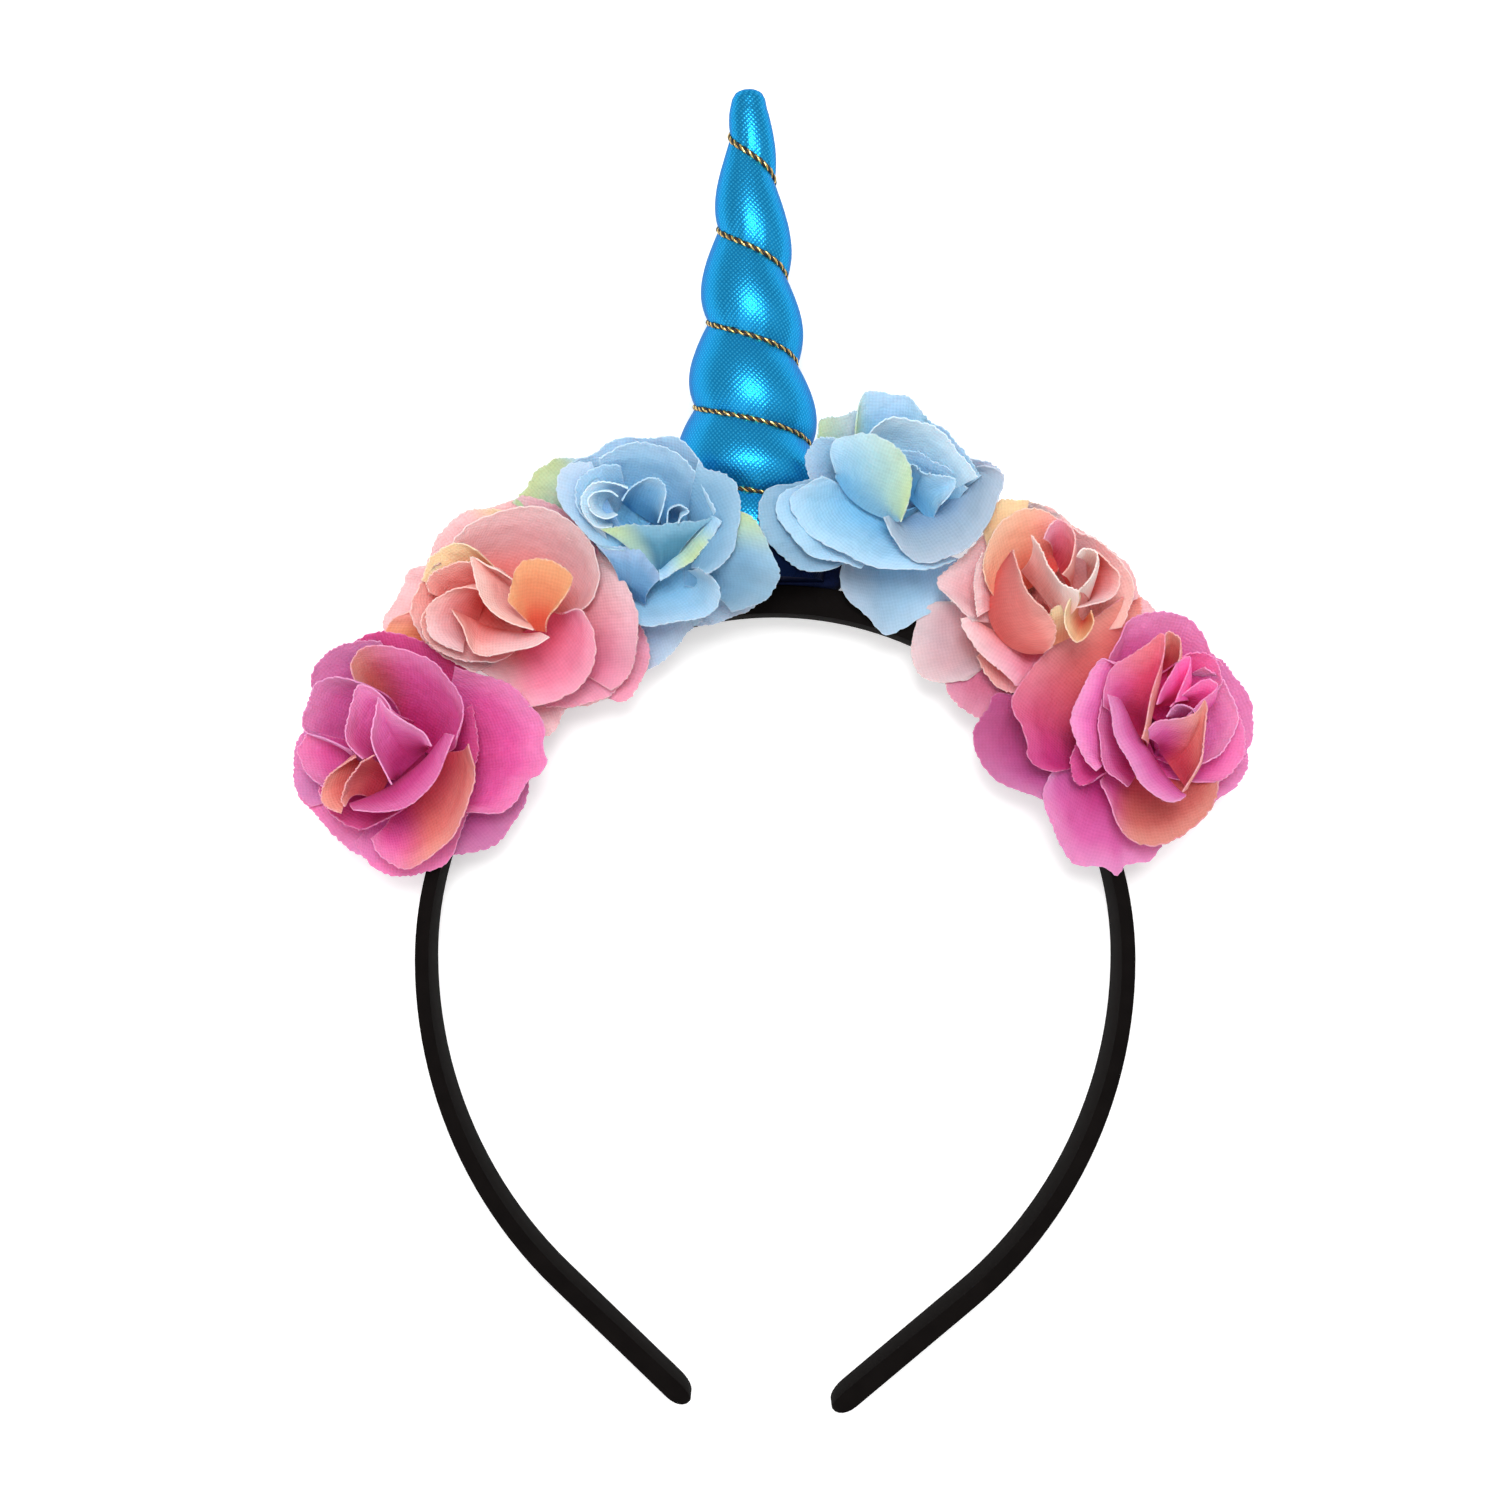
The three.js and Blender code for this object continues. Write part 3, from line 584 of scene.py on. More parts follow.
gilt_yarns = twisted_yarns("horn_cord_gilt", (0, 0.5))
black_yarns = twisted_yarns("horn_cord_black", (0.25, 0.75))
print("cord:", round(cord_length), "mm long")

# %% [markdown]
# Gilt yarn is polyester film with a coat of metal, slit and wrapped on a core: bright, with small flats that
# catch the light one by one. The black yarn beside it is a plain shiny filament.

# %% Gild the cord
FLAT_LENGTH = 0.5  # mm between the film's small flats
FILAMENT_SIZE = 0.4  # mm between the black yarn's lighter streaks
gilt, tree = new_material("gilt_film_yarn")
flat_inputs = {"Vector": object_place(tree), "Scale": 1 / (FLAT_LENGTH * MM)}
flats = add_node(tree, "ShaderNodeTexVoronoi", flat_inputs).outputs["Distance"]
surface(tree, {
    "Base Color": mix_colours(tree, flats, "#fbe09a", "#c49a44"), "Metallic": 1.0, "Roughness": 0.24,
    "Normal": bump(tree, flats, 0.6, 0.1),
})
gilt_yarns.data.materials.append(gilt)

filament, tree = new_material("black_filament_yarn")
streaks = speckle(tree, object_place(tree), FILAMENT_SIZE * MM, 2.0)
surface(tree, {
    "Base Color": mix_colours(tree, streaks, "#0b0806", "#2b2018"), "Roughness": 0.45,
    "Normal": bump(tree, streaks, 0.3, 0.05),
})
black_yarns.data.materials.append(filament)
print("cord finishes:", gilt.name, "and", filament.name)

# %% [markdown]
# ## The roses' petal cloth
# Each rose is cut from thin white cloth that is dyed by hand: strong at the root, weaker to the rim, with a
# second colour brushed along one side of many petals. The dye is painted on the points of each petal, and so
# are painted shade and light: some petals take a darker copy of a dye, as painted shade, and some a lighter
# one, as painted light. The shader adds what the whole cloth has in common: crossed threads, and the pale
# fluffy line where the scissors cut through them.

# %% Mix the petal cloth
PETAL_THREAD = 0.6  # mm between threads, drawn about twice as coarse as the real cloth so that it shows
CUT_LINE = 0.3  # mm of paler cloth along a cut edge
CREASE_SIZE = 4.545  # mm between soft creases
BLOTCH_SIZE = 2.0  # mm between stronger and weaker dye
FRAY_SIZE = 1.11  # mm between frayed places on a cut edge


def petal_cloth(name, sheen_tint, pale):
    """The cloth of one colour of rose, which takes its dye and painted shading from the petals' own points.
    """
    material, tree = new_material(name)
    flat = add_node(tree, "ShaderNodeUVMap", uv_map="UVMap").outputs["UV"]
    warp, weft = (bands(tree, flat, PETAL_THREAD, 1.6, 2.0, direction) for direction in "XY")
    weave = reckon(tree, "ADD", warp, weft)
    blotches = stretch(tree, speckle(tree, flat, BLOTCH_SIZE, 4.0), to=(0.9, 1.08))
    threads = stretch(tree, weave, start=(0, 2), to=(0.94, 1.04))
    strength = reckon(tree, "MULTIPLY", blotches, threads)
    dye_and_shading = add_node(tree, "ShaderNodeAttribute", attribute_name="dye_and_shading").outputs["Color"]
    dye_and_shading_inputs = {0: dye_and_shading, "Scale": strength}
    dyed_and_shaded = add_node(tree, "ShaderNodeVectorMath", dye_and_shading_inputs, operation="SCALE").outputs["Vector"]
    to_edge = add_node(tree, "ShaderNodeAttribute", attribute_name="cut_edge").outputs["Fac"]
    fade = stretch(tree, to_edge, start=(0, CUT_LINE), to=(0.5, 0), kind="SMOOTHSTEP")
    frayed = stretch(tree, speckle(tree, flat, FRAY_SIZE, 2.0), start=(0.35, 0.65))
    pale_share = reckon(tree, "MULTIPLY", fade, frayed)
    creased = bump(tree, speckle(tree, flat, CREASE_SIZE, 2.0), 0.5, 1.2)
    surface(tree, {
        "Base Color": mix_colours(tree, pale_share, dyed_and_shaded, pale),
        "Roughness": 0.85, "Specular IOR Level": 0.15,
        "Subsurface Weight": 0.5, "Subsurface Radius": (1, 0.55, 0.5), "Subsurface Scale": 0.8 * MM,
        "Sheen Weight": 0.08, "Sheen Roughness": 0.5, "Sheen Tint": linear(sheen_tint),
        "Normal": bump(tree, weave, 0.3, 0.1, under=creased),
    })
    return material


CLOTHS = {
    "magenta_cloth": petal_cloth("magenta_dyed_petal_cloth", "#f2a9d2", "#eeaacd"),
    "salmon_cloth": petal_cloth("salmon_dyed_petal_cloth", "#f8d2c6", "#f8d8cf"),
    "blue_cloth": petal_cloth("blue_dyed_petal_cloth", "#d3e6f6", "#d3e6f4"),
}
# root, body and rim of each dye; darker and lighter copies of a dye paint shade and light into petals
DYES_AND_SHADING = {
    "magenta": ("#b5246a", "#dc5ca4", "#e484b8"),
    "lilac": ("#b02a75", "#cb60a2", "#d68aba"),
    "coral": ("#cc4458", "#d97872", "#e29a8e"),
    "wine": ("#8f174c", "#bd3279", "#cf5694"),
    # the next two are darker copies of lilac and wine: painted shade
    "plum": ("#962460", "#b25392", "#c07aa8"),
    "garnet": ("#7c1844", "#a03c6e", "#b05284"),
    "fuchsia": ("#a82068", "#c6488e", "#d470a8"),
    "orchid": ("#cc3e8c", "#e878bc", "#ee98c8"),
    "cerise": ("#f0307e", "#fb4a9e", "#f970b2"),
    "ruby": ("#a81c50", "#d64a70", "#e07a88"),
    "rust": ("#b43a4a", "#bd645e", "#cc8c80"),
    "salmon": ("#e05a54", "#ec8f89", "#f3b2aa"),
    "blush": ("#e27e7b", "#e2aeb4", "#eac7ca"),
    "pink": ("#d8506c", "#df7d9b", "#e69eb5"),
    "cream": ("#e4906f", "#ecc49c", "#f0d8b0"),
    "orange": ("#d85a44", "#da8a64", "#dea076"),
    "peach": ("#e06a56", "#eca58a", "#f0bda2"),
    "bud": ("#d2605c", "#d57672", "#e49c94"),
    # the next two are lighter copies of salmon: painted light
    "shell": ("#ee9c96", "#f4b2ac", "#f7c8c0"),
    "ivory": ("#f4b8b2", "#fbd8d2", "#fde4de"),
    "mauve": ("#c24a6c", "#c4708e", "#d090a8"),
    "dusty": ("#c88486", "#caa8b0", "#d6c0c4"),
    "sky": ("#74b6de", "#94c3e0", "#acd0e8"),
    "mist": ("#8ab2d6", "#a2bfda", "#b6cce0"),
    "leaf": ("#8fbfd4", "#a9cab8", "#bbd0a2"),
    "deep": ("#5aa6d8", "#7cb8e0", "#a0cbe8"),
    # the next four are darker, greyer copies of sky and mist: painted shade
    "shaded_sky": ("#4d84b4", "#6f9fc8", "#9cb8d8"),
    "haze": ("#6a9cc0", "#7ba6c4", "#94b8d0"),
    "teal": ("#447c9c", "#528ca8", "#80b0c8"),
    "fog": ("#7d9fc0", "#95abbf", "#a8bacb"),
    # a lighter copy of sky: painted light
    "pale": ("#a9d3ee", "#bfe0f4", "#cfe8f6"),
}
print("cloths:", ", ".join(CLOTHS))

# %% [markdown]
# ## The roses
# A craft rose is a stack of cut rounds: wide outer petals that lie open, a middle cup with rolled lips, and
# standing inner petals round a curled heart. No two petals fall alike, so a ring of copies would look like
# a machine's rose. Each petal here is laid one by one: the photograph is taken straight down, so a petal's
# rim is read from it in pixels, with a height for each end and the middle, and the camera turns pixels into
# millimetres. The sheet is then drawn from the petal's root on the stem out to that rim.

# %% From the photograph's pixels to the table
PHOTO_SIZE = 1500
PIXELS_PER_SLOPE = PHOTO_SIZE * LENS_MM / SENSOR_MM


def from_photo(across, down, height):
    """The place in millimetres that shows at a pixel of the photograph, at a height over the table."""
    camera_x, camera_y, camera_z = np.array(CAMERA_AT) / MM
    reach = (camera_z - np.asarray(height)) / PIXELS_PER_SLOPE
    x = camera_x + (np.asarray(across) - PHOTO_SIZE / 2) * reach
    y = camera_y - (np.asarray(down) - PHOTO_SIZE / 2) * reach
    return np.stack([x, y, np.asarray(height) + 0 * x], axis=-1)


# the hub on the stem in mm, how far and which way the rose leans in degrees, its cloth, its core, which is
# the pixel and the height of the roll of cloth in its middle, and the roll's dye
ROSES = {
    "magenta_left": {
        "hub": (-58.7, -28, 13), "lean": 34, "lean_to": 144, "cloth": "magenta_cloth",
        "core": (419, 769, 11.8), "roll_dye": "wine",
    },
    "salmon_left": {
        "hub": (-41.4, -5.8, 13.5), "lean": 20, "lean_to": 126, "cloth": "salmon_cloth",
        "core": (523, 616, 11.5), "roll_dye": "salmon",
    },
    "blue_left": {
        "hub": (-23.5, 4.5, 19), "lean": 32, "lean_to": 86, "cloth": "blue_cloth",
        "core": (639, 543, 14.3), "roll_dye": "deep",
    },
    "blue_right": {
        "hub": (18.2, 10.5, 17), "lean": 34, "lean_to": 72, "cloth": "blue_cloth",
        "core": (894, 515, 13.3), "roll_dye": "deep",
    },
    "salmon_right": {
        "hub": (41.9, -6.2, 13.5), "lean": 28, "lean_to": 50, "cloth": "salmon_cloth",
        "core": (1038, 620, 11.5), "roll_dye": "salmon",
    },
    "magenta_right": {
        "hub": (58.5, -26.7, 13), "lean": 35, "lean_to": 29, "cloth": "magenta_cloth",
        "core": (1131, 746, 12.3), "roll_dye": "wine",
    },
}
for rose in ROSES.values():
    lean, lean_to = math.radians(rose["lean"]), math.radians(rose["lean_to"])
    tilt = math.sin(lean)
    rose["axis"] = np.array([tilt * math.cos(lean_to), tilt * math.sin(lean_to), math.cos(lean)])
print("roses:", ", ".join(ROSES))

# %% [markdown]
# Each row of the next tables is one petal: its dye, its root (pixel across, pixel down, height), the root's
# width, the rim's heights at its first end, middle and last end, how far the sheet bows up between root and
# rim, and the rim in pixels. Dyes with strokes between them run from the rim's first end to its last. A
# petal that closes over others, with no root in sight, has a second curve of points and heights as its root.
# A row that names a darker copy of a dye paints shade into that petal, and one that names a lighter copy
# paints light.

# %% The left-hand petals
PETALS = {}
PETALS["magenta_left"] = {
    "outer_petals": [
        ("magenta", (432, 758, 13.5), 8, (22, 20, 17), -1.5, [
            (452, 665), (480, 675), (507, 683), (525, 699), (541, 722), (542, 744), (548, 762), (540, 774),
            (526, 781), (503, 811), (466, 813)]),
        ("plum", (432, 758, 12.8), 6, (12, 11.5, 13.5), -0.5, [
            (530, 770), (528, 790), (519, 815), (501, 839), (480, 851), (452, 855), (430, 846)]),
        ("magenta", (425, 762, 13.5), 6, (14.5, 14.5, 16), -1, [
            (468, 812), (459, 838), (443, 864), (420, 874), (398, 876), (378, 871), (364, 857), (352, 842)]),
        ("lilac/magenta", (418, 762, 14), 6, (15, 16, 17), -1, [
            (374, 862), (350, 850), (334, 836), (319, 818), (303, 802), (296, 788), (293, 770)]),
        ("lilac", (415, 757, 14.5), 6, (17, 18, 19), -1, [
            (310, 806), (298, 792), (293, 770), (295, 748), (303, 731), (318, 716)]),
        ("plum", (418, 745, 14.5), 6, (20, 20, 21), -1.5, [
            (313, 712), (311, 690), (315, 667), (326, 653), (342, 646), (360, 641), (380, 642)]),
        ("wine", (425, 740, 14.5), 6, (17.5, 21, 19), -1.5, [
            (342, 655), (354, 641), (370, 634), (390, 633), (412, 638), (432, 648), (456, 663), (478, 678)]),
    ],
    "middle_petals": [
        ("rust/magenta/magenta", (408, 742, 17.5), 10, (30, 30, 25), -2.5, [
            (353, 682), (348, 666), (357, 652), (375, 647), (396, 649), (428, 660), (448, 680), (459, 700),
            (460, 722), (456, 740)]),
        ("lilac", (400, 748, 17.5), 8, (31, 27, 28), -2, [
            (360, 684), (335, 679), (316, 684), (309, 705), (302, 720), (306, 731), (326, 738), (348, 747)]),
        ("magenta/lilac", (398, 768, 17.5), 8, (26, 25, 25), -1, [
            (309, 730), (299, 748), (303, 765), (312, 777), (326, 787)]),
        ("magenta/coral/coral", (420, 775, 17), 12, (20, 22, 25), -2, [
            (371, 838), (378, 854), (395, 866), (410, 868), (426, 860), (441, 845), (456, 828), (467, 806),
            (472, 782), (472, 764), (468, 744)]),
        ("wine", (430, 756, 16), 8, (19.5, 19.5, 19), -0.5, [
            (470, 704), (477, 735), (475, 765), (462, 792)]),
        ("wine", (400, 775, 17), 8, (23, 22, 22), -1.5, [
            (319, 786), (325, 806), (340, 820), (358, 828), (378, 822), (402, 808)]),
    ],
    "inner_petals": [
        ("orchid/magenta", (398, 742, 20), 9, (31, 32, 31), 0.3, [
            (394, 716), (383, 700), (371, 690), (360, 687), (352, 697), (347, 718), (346, 740), (353, 750),
            (362, 758)]),
        ("orchid", (412, 764, 21), 8, (32, 36, 32), 0.8, [
            (391, 784), (379, 764), (371, 742), (372, 718), (376, 699), (386, 710), (402, 721), (421, 732),
            (431, 746)]),
        ("fuchsia", (407, 774, 20), 19.5, (31, 33, 34), 1.4, [
            (350, 808), (375, 811), (395, 808), (413, 801), (427, 788), (438, 768), (447, 750), (452, 734)]),
    ],
    "heart": [
        ("coral", (372, 780, 21), 6, (30, 30, 30), 1.5, [
            (355, 756), (336, 767), (325, 781), (321, 795), (328, 806), (340, 811)]),
        ("coral", (385, 786, 21), 6, (32, 31, 31), 1.5, [
            (372, 754), (358, 764), (348, 778), (341, 795), (344, 805)]),
    ],
}
PETALS["salmon_left"] = {
    "outer_petals": [
        ("blush", (515, 615, 13.5), 6, (13.5, 14, 16), -0.5, [
            (384, 636), (384, 616), (396, 599), (403, 582), (409, 570), (428, 564)]),
        ("orange/salmon", (515, 620, 13.8), 6, (16, 16, 17), -0.5, [
            (386, 646), (386, 628), (395, 617), (414, 609)]),
        ("blush/blush/cream", (520, 605, 15), 7, (17.5, 22, 22), -1, [
            (424, 568), (432, 550), (441, 533), (456, 517), (472, 510), (492, 509), (512, 514)]),
        ("blush/pink", (530, 605, 15), 7, (19, 20, 21), -1, [
            (478, 514), (505, 502), (523, 496), (545, 502), (563, 510), (580, 527), (598, 550)]),
        ("pink", (535, 630, 12.8), 6, (17, 14, 13.5), -0.5, [
            (634, 612), (645, 635), (650, 655), (646, 670), (640, 682), (632, 697), (622, 702), (608, 698)]),
        ("blush", (535, 635, 12.8), 5, (13.5, 12.5, 12.5), -0.5, [
            (612, 696), (590, 705), (572, 707), (563, 714), (556, 728), (546, 737), (528, 738)]),
        ("pink", (535, 630, 13.2), 6, (16, 14.5, 14.5), -0.8, [
            (627, 668), (616, 690), (598, 700), (575, 706), (546, 708)]),
        ("blush/pink", (535, 622, 14.5), 8, (20, 25, 16), -1.2, [
            (590, 543), (604, 556), (614, 567), (623, 580), (632, 598), (637, 620), (637, 642), (633, 660),
            (626, 678), (612, 691)]),
    ],
    "middle_petals": [
        ("blush", (525, 598, 17.5), 13, (24, 28, 21), -2.2, [
            (448, 556), (458, 538), (474, 522), (497, 512), (533, 508), (556, 514), (576, 526), (591, 546),
            (598, 570), (596, 590), (584, 606), (562, 617)]),
        ("salmon/blush", (510, 612, 17), 10, (25, 25, 22), -2.5, [
            (440, 562), (424, 578), (414, 595), (412, 612), (418, 630), (432, 646), (450, 659), (474, 671)]),
        ("cream", (508, 600, 18), 6, (26, 26, 27), -1, [
            (422, 580), (431, 559), (446, 547), (463, 544), (478, 551)]),
        ("salmon/blush", (508, 615, 18), 10, (26, 26.5, 24), -2, [
            (436, 598), (425, 612), (422, 628), (432, 645), (450, 655), (470, 660), (494, 661)]),
        ("pink/pink/blush", (530, 628, 18.5), 11, (25.5, 21, 19), -0.8, [
            (564, 613), (578, 608), (588, 620), (595, 640), (594, 662), (585, 680), (570, 692), (550, 702),
            (530, 707), (512, 694), (492, 677), (474, 668)]),
    ],
    "inner_petals": [
        ("salmon", (495, 600, 20), 8, (26, 28, 29), -1, [
            (430, 592), (428, 580), (440, 570), (458, 563), (476, 562)]),
        ("salmon/blush", (480, 614, 20), 9, (30, 29, 27), 1, [
            (484, 590), (466, 586), (450, 590), (436, 599), (428, 611), (428, 628), (440, 642), (462, 650)]),
        ("salmon/blush", (503, 630, 20), 14, (31, 30, 31), 1.4, [
            (452, 611), (463, 627), (468, 641), (474, 651), (490, 654), (515, 648), (535, 644), (548, 636)]),
    ],
    "heart": [
        ("shell", (520, 602, 20), 7, (31, 34, 31), 1, [
            (532, 628), (514, 623), (498, 614), (486, 602), (479, 586), (476, 572), (472, 557), (487, 564),
            (500, 571), (514, 580)]),
        ("orange", (541, 631, 26), 2, (32, 35, 33), 1.2, [
            (508, 602), (511, 586), (516, 570), (527, 561), (545, 560), (560, 567), (571, 577), (566, 591),
            (556, 608)]),
    ],
}
PETALS["blue_left"] = {
    "outer_petals": [
        ("leaf/leaf/sky", (630, 555, 18), 6, (19, 21, 24), -0.5, [
            (512, 502), (527, 485), (535, 472), (545, 464), (556, 458), (576, 458), (594, 456)]),
        ("sky", (645, 550, 18.5), 8, (25, 28, 28), -2, [
            (572, 464), (590, 455), (605, 445), (620, 440), (645, 438), (670, 438), (682, 442), (693, 452),
            (702, 468)]),
        ("haze", (690, 542, 26), 9, (30, 31, 30.5), 0.8, [
            (698, 461), (706, 469), (720, 471), (732, 480), (738, 495), (739, 512), (737, 530), (733, 548),
            (722, 562), (706, 574)]),
        ("mist", (645, 575, 17), 6, (14, 13, 10), -0.5, [
            (704, 620), (688, 632), (680, 645), (665, 660), (648, 671), (626, 680)]),
        ("leaf/haze/haze", (684, 572, 23), 5, (29, 29, 18), 2.4, [
            (732, 506), (750, 516), (760, 528), (769, 547), (776, 558), (779, 572), (776, 585), (766, 597),
            (750, 606), (733, 612)]),
        ("mist", (680, 590, 14), 6, (18, 14, 13.5), 0.3, [
            (778, 580), (763, 599), (743, 612), (722, 621), (694, 627)]),
    ],
    "middle_petals": [
        ("mist/sky", (626, 534, 26), 10, (27, 27, 26), -0.4, [
            (592, 460), (573, 463), (560, 473), (557, 490), (563, 507), (577, 524), (593, 540), (612, 549),
            (642, 552)]),
        ("sky", (636, 540, 20.5), 8, (28, 28, 28), -1.5, [
            (622, 466), (600, 466), (584, 475), (577, 490), (580, 508), (592, 522), (606, 531)]),
        ("sky", (648, 530, 20.5), 10, (29, 30, 30), -1.6, [
            (600, 458), (620, 448), (645, 444), (668, 449), (688, 466), (704, 490), (714, 512)]),
        ("sky", (656, 570, 18), 8, (29, 24.5, 20), -1.6, [
            (698, 565), (712, 575), (719, 590), (717, 605), (705, 614), (685, 620), (660, 623), (640, 623),
            (626, 608)]),
        ("shaded_sky", (633, 597, 20), 5, (26, 27, 23), 1.6, [
            (598, 546), (620, 547), (640, 551), (652, 562), (660, 578)]),
    ],
    "inner_petals": [
        ("leaf/teal/teal", (660, 577, 22), 3, (29, 30, 30), 1.5, [
            (600, 528), (625, 525), (650, 526), (680, 523), (712, 518)]),
        ("sky/leaf/sky", (682, 546, 24), 12, (25.5, 28, 31), 1, [
            (660, 579), (675, 570), (692, 559), (704, 546), (713, 533), (721, 520)]),
        ("pale", (622, 512, 21), 6, (29, 31, 31), 0.5, [
            (612, 526), (596, 524), (585, 513), (582, 499), (588, 487), (601, 481), (616, 481), (628, 487)]),
    ],
    "heart": [
        ("pale", (606, 506, 22), 4, (31, 32, 31), 0.3, [
            (617, 512), (605, 517), (593, 510), (589, 499), (596, 490), (608, 489), (618, 495)]),
        ("deep", (642, 516, 22), 8, (30, 33, 31), 0.5, [
            (622, 500), (630, 486), (645, 478), (658, 478), (664, 487), (663, 502), (658, 521)]),
        ("sky", (674, 518, 23), 3, (30, 32, 31), 0.5, [
            (667, 521), (669, 508), (678, 503), (688, 509), (682, 514), (678, 522)]),
    ],
}
print("left-hand petals:", sum(len(rows) for rose in PETALS.values() for rows in rose.values()))

# %% [markdown]
# The right-hand roses aren't a mirror image of the left: they lean the other way and opened differently in
# the maker's hands, so they have rows of their own.

# %% The right-hand petals
PETALS["blue_right"] = {
    "outer_petals": [
        ("leaf/mist", (865, 505, 18), 6, (24, 25, 25), -0.5, [
            (816, 446), (820, 431), (822, 420), (840, 416), (860, 412), (878, 420)]),
        ("leaf/sky/sky", (880, 500, 19), 6, (27, 28, 27), -1, [
            (856, 434), (860, 406), (868, 393), (888, 393), (908, 398), (919, 411), (934, 426)]),
        ("sky", (895, 505, 18), 6, (27, 28, 27), -1.5, [
            (910, 400), (930, 421), (945, 432), (958, 444), (968, 458), (980, 474)]),
        ("mist", (900, 515, 18), 6, (27, 26, 22), -1, [
            (956, 454), (975, 459), (990, 461), (1000, 470), (1003, 480), (998, 492), (990, 510),
            (980, 530)]),
        ("sky/mist", (862, 500, 18), 6, (27, 25, 24), -0.5, [
            (836, 436), (819, 439), (808, 452), (807, 463), (811, 478), (802, 486)]),
        ("fog/sky", (880, 545, 15.5), 6, (15.5, 13.5, 14), -0.3, [
            (842, 560), (840, 578), (845, 595), (855, 608), (870, 620), (885, 633), (900, 630), (915, 622),
            (932, 612), (950, 600), (963, 580), (964, 560)]),
        ("haze", (868, 530, 18), 8, (25, 28, 21), 0.5, [
            (814, 476), (790, 484), (770, 488), (760, 502), (761, 522), (768, 542), (785, 557), (805, 568),
            (830, 570), (850, 560)]),
    ],
    "middle_petals": [
        ("sky", (872, 520, 20), 8, (27, 28, 24), 0.3, [
            (806, 482), (784, 492), (776, 506), (784, 524), (799, 544), (815, 555), (836, 561), (862, 567)]),
        ("pale", (895, 480, 20), 10, (29, 29, 29), -1.4, [
            (866, 440), (876, 428), (892, 420), (910, 420), (928, 425), (946, 438), (964, 458), (976, 476)]),
        ("sky", (884, 512, 21), 10, (28, 27.5, 24), 0, [
            (824, 474), (799, 490), (790, 501), (799, 518), (815, 536), (840, 552), (866, 562), (900, 568),
            (932, 569), (956, 557)]),
        ("fog", (930, 506, 21), 13, (27, 26, 29), 1, [
            (884, 517), (892, 535), (905, 550), (920, 560), (940, 560), (960, 552), (980, 535), (991, 515),
            (999, 493), (1003, 478), (997, 467), (984, 462)]),
    ],
    "inner_petals": [
        ("sky/leaf", [
            (835, 477, 27), (848, 496, 25), (866, 510, 24), (884, 518, 24),
            (899, 522, 26)], 0, (28, 33, 28), 2, [
            (835, 474), (831, 456), (836, 440), (853, 435), (874, 437), (892, 443), (905, 457), (910, 477),
            (908, 500), (901, 521)]),
        ("deep/sky", (918, 508, 22), 7, (29, 30, 29), 0.8, [
            (904, 460), (922, 469), (938, 475), (954, 479), (950, 491), (942, 502)]),
    ],
    "heart": [
        ("sky", (925, 498, 21), 8, (27, 26, 26), -0.5, [
            (900, 450), (916, 452), (934, 462), (952, 474), (966, 488)]),
    ],
}
